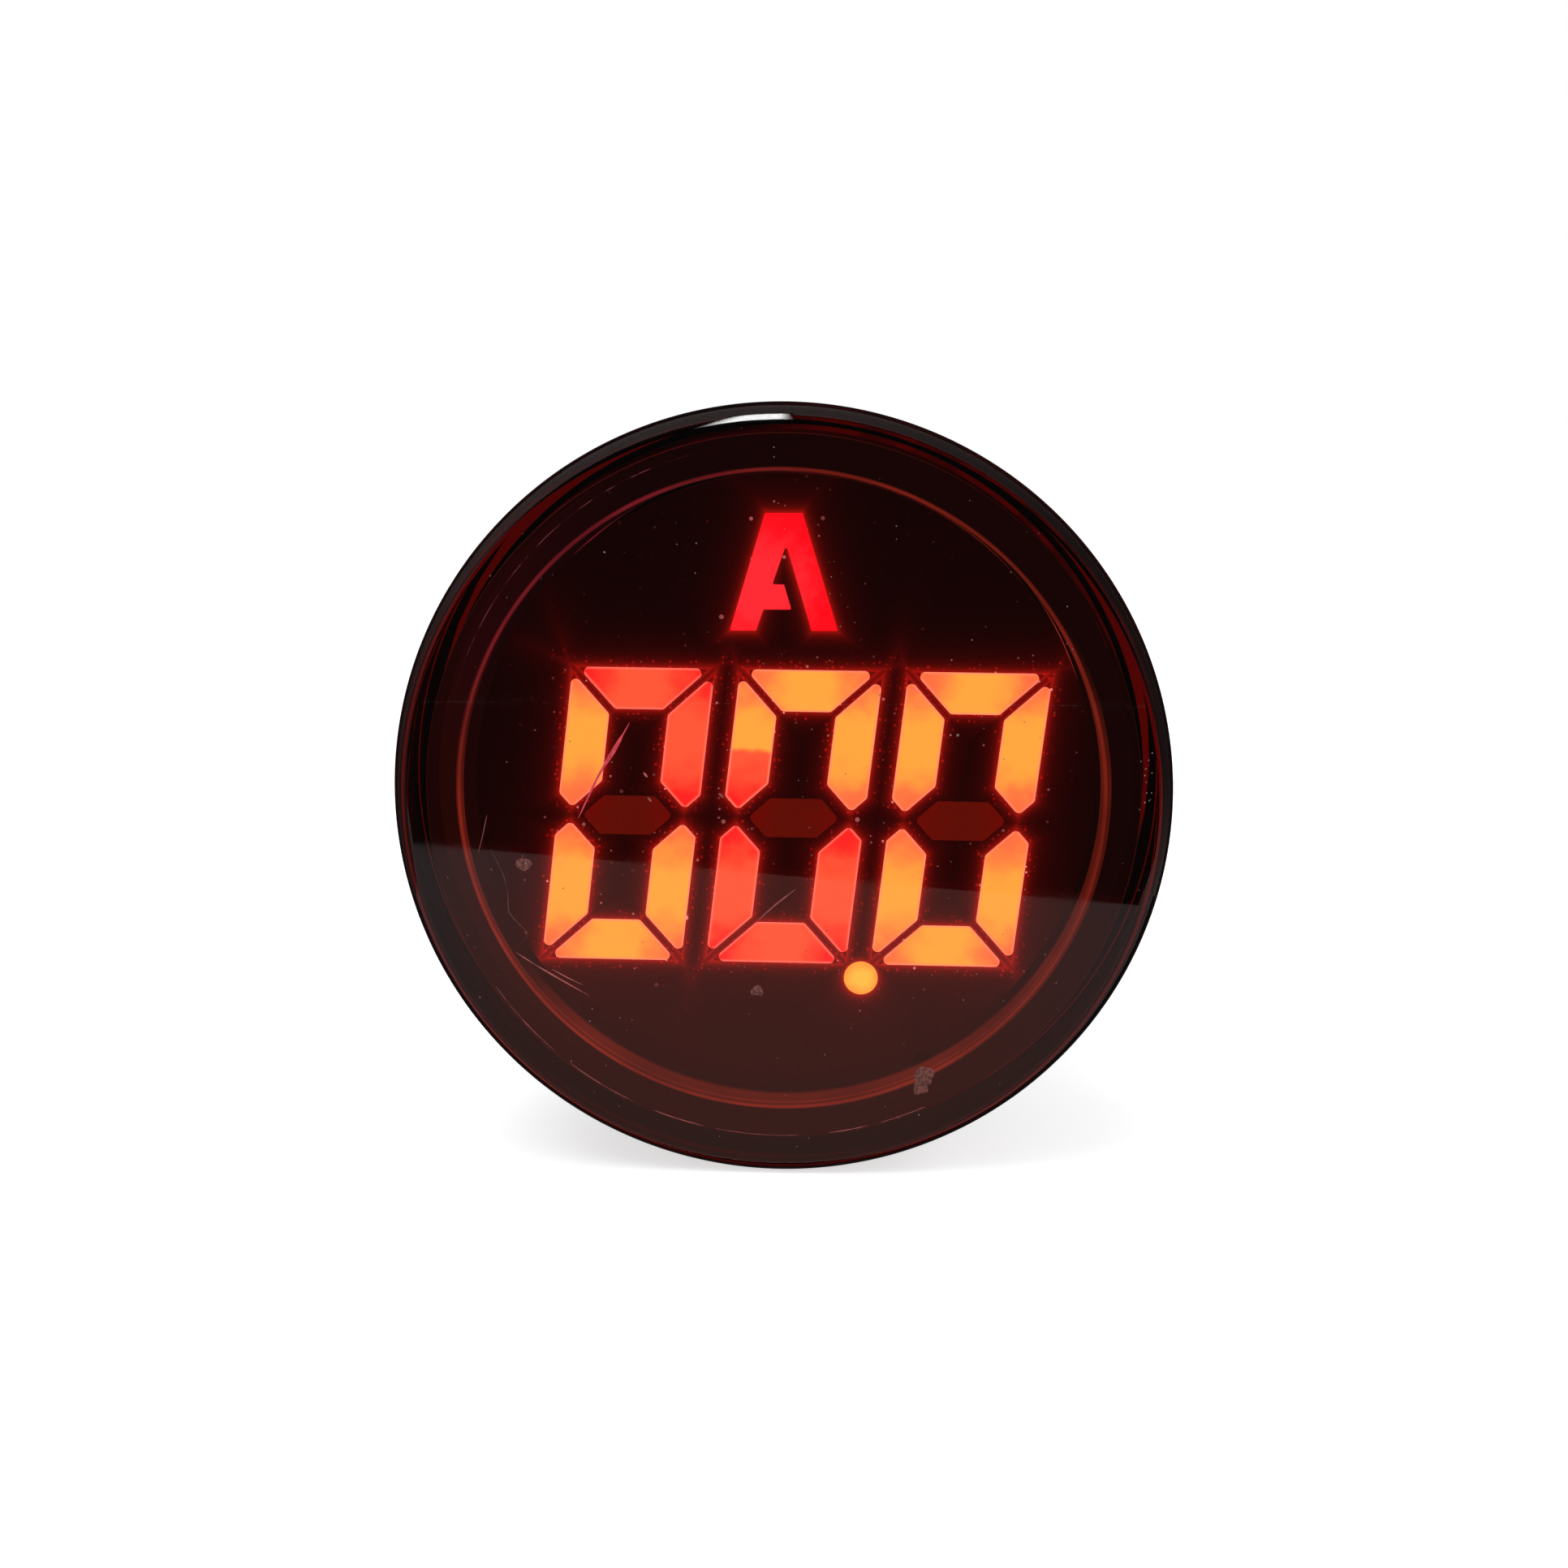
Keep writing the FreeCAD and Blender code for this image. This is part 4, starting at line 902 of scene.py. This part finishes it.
def make_nut():
    """Ring nut: the grooved outline under a chamfered edge profile, a shallow moulded step in the
    rear face, and a bore whose rows follow the barrel's helix with a clearance."""
    angles = nut_angles()
    clearance = 0.08
    step_outer, step_inner, step_depth = 12.15, 11.45, 0.25
    opening = THREAD_RADIUS + 0.15
    grooved = nut_outline(angles)
    line = thread_line(THREAD_RADIUS + clearance, THREAD_PITCH, THREAD_DEPTH - 0.1, 0.05, 0.08, 2)
    radius, y = thread_rows(line, THREAD_PITCH, angles, NUT_FRONT_Y, NUT_REAR_Y)
    entry = np.minimum(y - NUT_FRONT_Y, NUT_REAR_Y - y)
    radius = np.maximum(radius, opening - entry)
    edge = rounded([
        (opening, NUT_FRONT_Y, 0),
        (NUT_RADIUS, NUT_FRONT_Y, 0.4),
        (NUT_RADIUS, NUT_REAR_Y, 0.4),
        (step_outer, NUT_REAR_Y, 0.04),
        (step_outer - 0.1, NUT_REAR_Y - step_depth, 0.04),
        (step_inner + 0.1, NUT_REAR_Y - step_depth, 0.04),
        (step_inner, NUT_REAR_Y, 0.04),
        (opening, NUT_REAR_Y, 0),
    ], steps=5)
    outer_r, outer_y = rings(edge, angles)
    outer_r = np.minimum(outer_r, grooved)
    all_r = np.concatenate([outer_r, radius[::-1]])
    all_y = np.concatenate([outer_y, y[::-1]])
    return sheet_of(turned(all_r, all_y, angles))


def make_washer():
    """Stamped ring with a rounded front edge and a sharper rear edge, turned about the axis."""
    front_y = low_of("nut_washer")[1]
    line = rounded([
        (WASHER_INNER, front_y, 0.18),
        (WASHER_RADIUS, front_y, 0.25),
        (WASHER_RADIUS, NUT_FRONT_Y, 0.06),
        (WASHER_INNER, NUT_FRONT_Y, 0.06),
    ])
    angles = even_angles(192)
    return sheet_of(turned(*rings(line, angles), angles))


def make_gasket():
    """Rubber ring with rounded edges, three shallow sealing grooves on the side that meets the
    panel, and an inner lip that sits in the seat's groove, turned about the axis."""
    lip = SEAT_GROOVE + 0.05
    half, depth = 0.14, 0.12
    grooves = []
    for radius in (12.95, 12.35, 11.75):
        grooves += [(radius + half, 0, 0.03), (radius, -depth, 0.05), (radius - half, 0, 0.03)]
    line = rounded([
        (lip, FLANGE_REAR_Y, 0.05),
        (GASKET_RADIUS, FLANGE_REAR_Y, 0.2),
        (GASKET_RADIUS, 0, 0.25),
        *grooves,
        (WASHER_INNER, 0, 0.1),
        (WASHER_INNER, FLANGE_REAR_Y + 0.6, 0.05),
        (lip, FLANGE_REAR_Y + 0.6, 0.05),
    ], steps=4)
    angles = even_angles(192)
    return sheet_of(turned(*rings(line, angles), angles))


def rounded_square(angles, half, corner):
    """Distance from the centre to a rounded square at each angle: half over the larger of |cos| and
    |sin|, or in a corner the far crossing with its circle."""
    c, s = np.abs(np.cos(angles)), np.abs(np.sin(angles))
    flat = half / np.maximum(c, s)
    middle = half - corner
    along = (c + s) * middle
    inside = along ** 2 - 2 * middle ** 2 + corner ** 2
    arc = along + np.sqrt(np.maximum(inside, 0))
    return np.where(flat * np.minimum(c, s) > middle, np.minimum(arc, flat * SQRT2), flat)


def terminal_centre(side_x, side_z):
    """Where a terminal's own axis lies, to the left or right and above or below the meter's."""
    return side_x * TERMINAL_OFFSET, side_z * TERMINAL_OFFSET


def make_clamp(number, side_x, side_z):
    """Square wire clamp: rows of rounded squares with a bevel at each face, and a round hole."""
    angles = even_angles(96)
    node = "clamp_washer_%d" % number
    half = (high_of(node)[0] - low_of(node)[0]) / 2
    rows = []
    for inset, y in ((0.14, CLAMP_FRONT_Y), (0.04, CLAMP_FRONT_Y + 0.04), (0, CLAMP_FRONT_Y + 0.14),
                     (0, CLAMP_REAR_Y - 0.2), (0.06, CLAMP_REAR_Y - 0.06), (0.2, CLAMP_REAR_Y)):
        rows.append((rounded_square(angles, half - inset, 0.5), y))
    bevel = 0.12
    for radius, y in ((CLAMP_HOLE + bevel, CLAMP_REAR_Y), (CLAMP_HOLE, CLAMP_REAR_Y - bevel),
                      (CLAMP_HOLE, CLAMP_FRONT_Y + bevel), (CLAMP_HOLE + bevel, CLAMP_FRONT_Y)):
        rows.append((radius + 0 * angles, y))
    radius = np.array([r for r, _ in rows])
    y = np.array([[s] for _, s in rows]) + 0 * radius
    return sheet_of(turned(radius, y, angles, terminal_centre(side_x, side_z)))


def cross_angles(turn):
    """Angles that include the twelve corners of a cross recess, evenly divided between them. An
    arm reaches this angle to each side of its middle."""
    arm = math.atan2(0.4, 1.7)
    quarter = [-arm, arm, math.pi / 4, math.pi / 2 - arm]
    marks = np.concatenate([np.array(quarter) + k * math.pi / 2 for k in range(4)] + [[TURN - arm]])
    steps = np.linspace(0, 1, 6)[:-1]
    fine = marks[:-1, None] + np.diff(marks)[:, None] * steps[None, :]
    return np.concatenate([fine.reshape(-1), [TURN - arm]]) + turn


def cross_outline(angles, turn, half_width, half_length):
    """Distance from the centre to a cross at each angle: the larger of two rectangles' distances,
    each the smaller of half its width over |cos| and half its length over |sin|."""
    c = np.maximum(np.abs(np.cos(angles - turn)), 1e-9)
    s = np.maximum(np.abs(np.sin(angles - turn)), 1e-9)
    lying = np.minimum(half_length / c, half_width / s)
    standing = np.minimum(half_width / c, half_length / s)
    return np.maximum(lying, standing)


def make_screw(side_x, side_z, turn):
    """Pan-head screw: a helical thread, a domed head turned about its own axis, and a cross recess
    that narrows towards its floor, in rows of an arm's half width, its half length and depth."""
    angles = cross_angles(turn)
    neck_y = CLAMP_REAR_Y
    line = thread_line(SCREW_RADIUS, SCREW_PITCH, SCREW_THREAD_DEPTH, 0.02, 0.04, 1)
    radius, y = thread_rows(line, SCREW_PITCH, angles, SCREW_TIP_Y, neck_y)
    radius = np.minimum(radius, SCREW_TIP_RADIUS + (y - SCREW_TIP_Y))
    radius = np.where(y >= neck_y, SCREW_NECK, radius)
    head = rounded([
        (SCREW_NECK, neck_y, 0),
        (SCREW_HEAD, neck_y, 0.12),
        (SCREW_HEAD, SCREW_REAR_Y - 0.35, 0.5),
        (RECESS_REACH + 0.15, SCREW_REAR_Y, 0.5),
        (RECESS_REACH, SCREW_REAR_Y, 0),
    ], steps=5)
    tip_r, tip_y = rings([(0, SCREW_TIP_Y), (SCREW_TIP_RADIUS, SCREW_TIP_Y)], angles)
    head_r, head_y = rings(head, angles)
    recess = [(0.45, 1.70, 0.0), (0.40, 1.62, 0.06), (0.32, 1.35, 1.05), (0.05, 0.05, 1.1), (0, 0, 1.1)]
    cut_r = np.array([cross_outline(angles, turn, w, l) if l else 0 * angles for w, l, _ in recess])
    cut_y = np.array([[SCREW_REAR_Y - depth] for _, _, depth in recess]) + 0 * cut_r
    all_r = np.concatenate([tip_r, radius, head_r, cut_r])
    all_y = np.concatenate([tip_y, y, head_y, cut_y])
    return sheet_of(turned(all_r, all_y, angles, terminal_centre(side_x, side_z)))


# Finishes of the solids that are kept


def dress(finish, *names):
    """Gives kept solids a finish."""
    for name in names:
        data = NODES[name].data
        data.materials.clear()
        data.materials.append(finish)


ORANGE_TONES = ((255, 166, 64), (255, 112, 66))
RED_TONES = ((255, 88, 56), (255, 36, 34))
ORANGE = lit_finish("segment_orange", *ORANGE_TONES, (255, 138, 110))
RED = lit_finish("segment_red", *RED_TONES, (255, 120, 104))
CHANGING = lit_finish("segment_changing", *ORANGE_TONES, (255, 138, 110), below=RED_TONES)
UNLIT = unlit_finish()
LETTER = plain_lit_finish("letter_red", (255, 42, 52), (255, 10, 26), (-0.9, 7.6), 2.7)
POINT = plain_lit_finish("point_orange", (255, 190, 72), (255, 150, 60), POINT_CENTRE, 0.75)

RED_SEGMENTS = {(1, "a"), (1, "b"), (2, "c"), (2, "d"), (2, "e")}
for digit in (1, 2, 3):
    for letter in "abcdefg":
        lit = RED if (digit, letter) in RED_SEGMENTS else ORANGE
        lit = CHANGING if (digit, letter) == (2, "f") else lit
        dress(UNLIT if letter == "g" else lit, "digit_%d_segment_%s" % (digit, letter))
dress(LETTER, "amp_symbol")
dress(POINT, "decimal_point")
dress(display_face_finish(), "display_housing")
BOARD = board_finish()
dress(BOARD, "display_board", "main_board")
dress(speckled("led_chip", (0.75, 0.70, 0.45), (0.6, 0.5, 0.3)), "led_chips")
dress(turned_metal("tinned_pin", (0.72, 0.71, 0.68), (0.5, 0.49, 0.46)), "link_pins")
BLOCK_PLASTIC = black_plastic("terminal_plastic", 0.02, 0.16, (0.38, 0.58))
CHIP_BLACK = speckled("chip_black", (0.018, 0.018, 0.019), (0.03, 0.03, 0.031), 0.5)
dress(BLOCK_PLASTIC, "terminal_block", "link_header")
dress(CHIP_BLACK, "controller_chip", "bridge_rectifier")
FILM = speckled("film_capacitor", (0.50, 0.06, 0.04), (0.58, 0.10, 0.06), 0.25, 1.2)
SLEEVE = speckled("capacitor_sleeve", (0.02, 0.02, 0.045), (0.03, 0.03, 0.06), 0.3, 1.0)
RESISTOR = speckled("resistor_body", (0.50, 0.42, 0.28), (0.42, 0.34, 0.22), 0.35, 0.6)
dress(FILM, "dropper_capacitor")
dress(SLEEVE, "smoothing_capacitor")
dress(RESISTOR, "fuse_resistor", "burden_resistor")
BRASS = brass_finish()
dress(BRASS, *["terminal_plate_%d" % number for number, _, _ in TERMINALS])


# The pieces themselves

new_piece("lens", make_lens(), lens_finish(), stands_for=["lens_cap"])
HOUSING = new_piece("housing", make_housing(), black_plastic("black_housing"),
                    stands_for=["main_housing"])
# The faces in front of the flange take the finish with the painted red glow.
finish_front(HOUSING, behind_lens_finish(), FLANGE_FRONT_Y + 0.01)
WEAR = (
    # The scratches' piece and finish also carry the pale broken arc, a painted highlight.
    ("lens_scratches_and_highlight", make_scratches_and_highlight(), "scratch", (0.60, 0.16, 0.15), (0.20, 0.06, 0.06), 0.7),
    # Painted light: this scratch's bright red stands for the digit's light caught in it.
    ("lens_painted_light_scratch", make_painted_light_scratch(), "painted_light_scratch", (0.95, 0.09, 0.13), (0.55, 0.04, 0.06), 0.5),
    ("lens_hair", make_hair(), "hair", (0.15, 0.06, 0.055), (0.07, 0.028, 0.028), 0.6),
    ("lens_spots", make_spots(), "dried_spot", (0.26, 0.095, 0.08), (0.12, 0.045, 0.04), 0.12),
    ("lens_dust", make_dust(), "dust", (0.42, 0.28, 0.28), (0.14, 0.06, 0.06), 2.0),
)
for name, surface, *look in WEAR:
    new_piece(name, surface, wear_finish(*look))
new_piece("gasket", make_gasket(), rubber_finish(), stands_for=["flange_gasket"])
new_piece("washer_ring", make_washer(), turned_metal("zinc_steel", (0.66, 0.66, 0.63), (0.50, 0.49, 0.45)),
          body="washer", stands_for=["nut_washer"])
new_piece("ring_nut", make_nut(), black_plastic("nut_plastic", 0.022, 0.2, (0.35, 0.55)),
          body="nut", stands_for=["mounting_nut"])
SCREW_TURNS = (0.3, 1.1, 0.7, 1.35)
for (number, side_x, side_z), turn in zip(TERMINALS, SCREW_TURNS):
    zinc = turned_metal("screw_zinc_%d" % number, (0.70, 0.70, 0.67), (0.55, 0.53, 0.48),
                        terminal_centre(side_x, side_z))
    new_piece("clamp_%d" % number, make_clamp(number, side_x, side_z), zinc,
              body="clamp_%d" % number, stands_for=["clamp_washer_%d" % number])
    new_piece("screw_%d" % number, make_screw(side_x, side_z, turn), zinc,
              body="screw_%d" % number, stands_for=["terminal_screw_%d" % number])


# Floor, light and camera

EVERY_RAY = ("camera", "diffuse", "glossy", "transmission", "volume_scatter", "shadow")
INDOORS = ("glossy", "transmission")
DARK = (0.03, 0.034, 0.034)
CARD_Z = FLOOR_Z + 0.07
CARD_REAR_Y = LENS_FACE_Y - 0.2
WINDOW_Y = LENS_FACE_Y - 20
WINDOW_LEFT, WINDOW_RIGHT = -5.8, 0.0
WINDOW_LOW, WINDOW_HIGH = 15.2, 32.0


def stage_piece(name, points, faces, finish, rays=EVERY_RAY):
    """A piece of the studio, with points in millimetres, that only the named kinds of ray see."""
    mesh = bpy.data.meshes.new(name)
    mesh.from_pydata((np.array(points, float) * MM).tolist(), [], faces)
    mesh.materials.append(finish.material)
    piece = bpy.data.objects.new(name, mesh)
    bpy.context.scene.collection.objects.link(piece)
    for kind in EVERY_RAY:
        setattr(piece, "visible_" + kind, kind in rays)


def plain_finish(name, colour=(0, 0, 0)):
    """A dull finish with no reflection."""
    finish = Finish(name, colour, 1.0)
    finish.set(Specular_IOR_Level=0.0)
    return finish


def level_corners(reach, front_y, rear_y, z):
    """The corners of a level rectangle that reaches equally far to both sides."""
    return [(-reach, front_y, z), (reach, front_y, z), (reach, rear_y, z), (-reach, rear_y, z)]


def shining_card(name, corners, colour, strength=1.0, rays=INDOORS):
    """A flat card that shines with a colour, or with what a function of its finish works out."""
    finish = plain_finish(name)
    finish.glow(colour(finish) if callable(colour) else colour, strength)
    stage_piece(name, corners, [range(len(corners))], finish, rays)


def near_colour(finish):
    """Reddish in front of the lens and greyer to both sides."""
    x, _, _ = finish.where()
    return finish.mix((x + 2.0).size().ramp(8.0, 24.0), (0.69, 0.325, 0.283), (0.50, 0.43, 0.44))


def window_colour(finish):
    """White in the middle, fading to black at the card's edges."""
    x, _, z = finish.where()
    across = x.ramp(-5.7, -3.6) * x.ramp(-1.2, -0.1, 1.0, 0.0)
    upwards = z.ramp(15.4, 17.0) * z.ramp(26.0, 31.8, 1.0, 0.0)
    return finish.mix(across * upwards, (0.0, 0.0, 0.0), (1.0, 1.0, 1.0))


def make_surround():
    """A grey tube round the lens that ends in a flat ring behind it, and a brow, part of a flat ring
    close over the top of the face, which keeps the window's light off the lens's skirt. They shade
    the room in the lens's rounded edge and skirt, more to the left than at the top and the lower
    right."""
    tube_radius, brow_radius = 40, 30
    angles = even_angles(48)
    line = [(tube_radius, LENS_FACE_Y - 46), (tube_radius, 1), (LENS_RADIUS + 0.1, 1)]
    tube = turned(*rings(line, angles), angles)
    brow_y = LENS_FACE_Y - 0.3
    brow_angles = np.radians(np.linspace(30, 150, 25))
    brow_line = [(brow_radius, brow_y), (LENS_RADIUS + 0.12, brow_y)]
    brow = turned(*rings(brow_line, brow_angles), brow_angles)
    points, faces = joined([sheet_of(tube, False), sheet_of(brow, False)])
    finish = plain_finish("surround")
    x, y, z = finish.where()
    angle = finish.math("ARCTAN2", x, z)
    top = (angle + 0.3).size().ramp(0.1, 1.4, 0.44, 0.0)
    right = (angle - 2.2).size().ramp(0.2, 0.6, 0.3, 0.0)
    beside = y.ramp(-6.0, 0.5, 1.0, 0.0)
    finish.glow((1.0, 0.84, 0.82), (top + right + 0.12) * beside + 0.03)
    stage_piece("surround", points, faces.tolist(), finish, INDOORS)


def make_floor():
    """Pale floor just under the head, with light of its own that only camera, glossy and
    transmission rays see."""
    reach, shine = 4000.0, 0.64
    finish = plain_finish("pale_floor", (0.8, 0.8, 0.8))
    path = finish.add("ShaderNodeLightPath")
    camera, glossy, through = (
        Number(finish, path.outputs["Is %s Ray" % kind]) for kind in ("Camera", "Glossy", "Transmission"))
    finish.glow((1.0, 1.0, 1.0), camera.most(glossy).most(through) * shine)
    stage_piece("floor", level_corners(reach, -reach, reach, FLOOR_Z), [range(4)], finish)


def area_lamp(name, place, aim, width, height, power):
    """A soft lamp at a place that faces a point, both in millimetres."""
    lamp = bpy.data.lights.new(name, "AREA")
    lamp.shape, lamp.size, lamp.size_y = "RECTANGLE", width * MM, height * MM
    lamp.energy = power
    holder = bpy.data.objects.new(name, lamp)
    bpy.context.scene.collection.objects.link(holder)
    holder.location = Vector(place) * MM
    holder.rotation_mode = "QUATERNION"
    holder.rotation_quaternion = (Vector(aim) - Vector(place)).to_track_quat("-Z", "Y")
    return holder


def make_world():
    """White to camera, glossy and transmission rays, and a softer fill for the rest."""
    world = bpy.data.worlds.new("studio")
    bpy.context.scene.world = world
    world.use_nodes = True
    nodes, links = world.node_tree.nodes, world.node_tree.links
    path = nodes.new("ShaderNodeLightPath")
    largest = path.outputs["Is Camera Ray"]
    for name in ("Is Glossy Ray", "Is Transmission Ray"):
        node = nodes.new("ShaderNodeMath")
        node.operation = "MAXIMUM"
        links.new(largest, node.inputs[0])
        links.new(path.outputs[name], node.inputs[1])
        largest = node.outputs[0]
    level = nodes.new("ShaderNodeMapRange")
    level.inputs["To Min"].default_value = 0.45
    level.inputs["To Max"].default_value = 1.0
    links.new(largest, level.inputs["Value"])
    links.new(level.outputs[0], nodes["Background"].inputs["Strength"])
    nodes["Background"].inputs["Color"].default_value = (1, 1, 1, 1)


make_floor()
make_world()
make_surround()
area_lamp("overhead", (-80, -60, 260), (0, 5, 0), 240, 240, 0.42)
area_lamp("side", (240, 60, 130), (0, 10, 0), 160, 160, 0.22)
shining_card("near_card", [(-200, -131, CARD_Z), (30, -51.5, CARD_Z), (200, -51.5, CARD_Z),
             (200, CARD_REAR_Y, CARD_Z), (-200, CARD_REAR_Y, CARD_Z)], near_colour)
shining_card("dark_floor", level_corners(900, -140, -45, CARD_Z - 0.02), DARK)
shining_card("dark_room", [(-900, -140, CARD_Z), (900, -140, CARD_Z), (900, -640, 400), (-900, -640, 400)],
             DARK)
shining_card("under_card", level_corners(40, CARD_REAR_Y, 2, FLOOR_Z + 0.01), (0.03, 0.03, 0.03))
shining_card("window_light", [(WINDOW_LEFT, WINDOW_Y, WINDOW_LOW), (WINDOW_RIGHT, WINDOW_Y, WINDOW_LOW),
             (WINDOW_RIGHT, WINDOW_Y, WINDOW_HIGH), (WINDOW_LEFT, WINDOW_Y, WINDOW_HIGH)],
             window_colour, 24.0, ("glossy",))

camera_data = bpy.data.cameras.new("photo_camera")
camera_data.sensor_width = 36.0
camera_data.lens = 49.76
camera_data.clip_start, camera_data.clip_end = 0.005, 20.0
camera = bpy.data.objects.new("photo_camera", camera_data)
bpy.context.scene.collection.objects.link(camera)
AZIMUTH, ELEVATION, DISTANCE = math.radians(2.5), math.radians(10.0), 80.0
aim = Vector((0.14, LENS_FACE_Y, 0.59))
level = math.cos(ELEVATION)
back = Vector((math.sin(AZIMUTH) * level, -math.cos(AZIMUTH) * level, math.sin(ELEVATION)))
camera.location = (aim + back * DISTANCE) * MM
camera.rotation_mode = "QUATERNION"
camera.rotation_quaternion = (-back).to_track_quat("-Z", "Y")
bpy.context.scene.camera = camera
bpy.context.scene.view_settings.view_transform = "Standard"
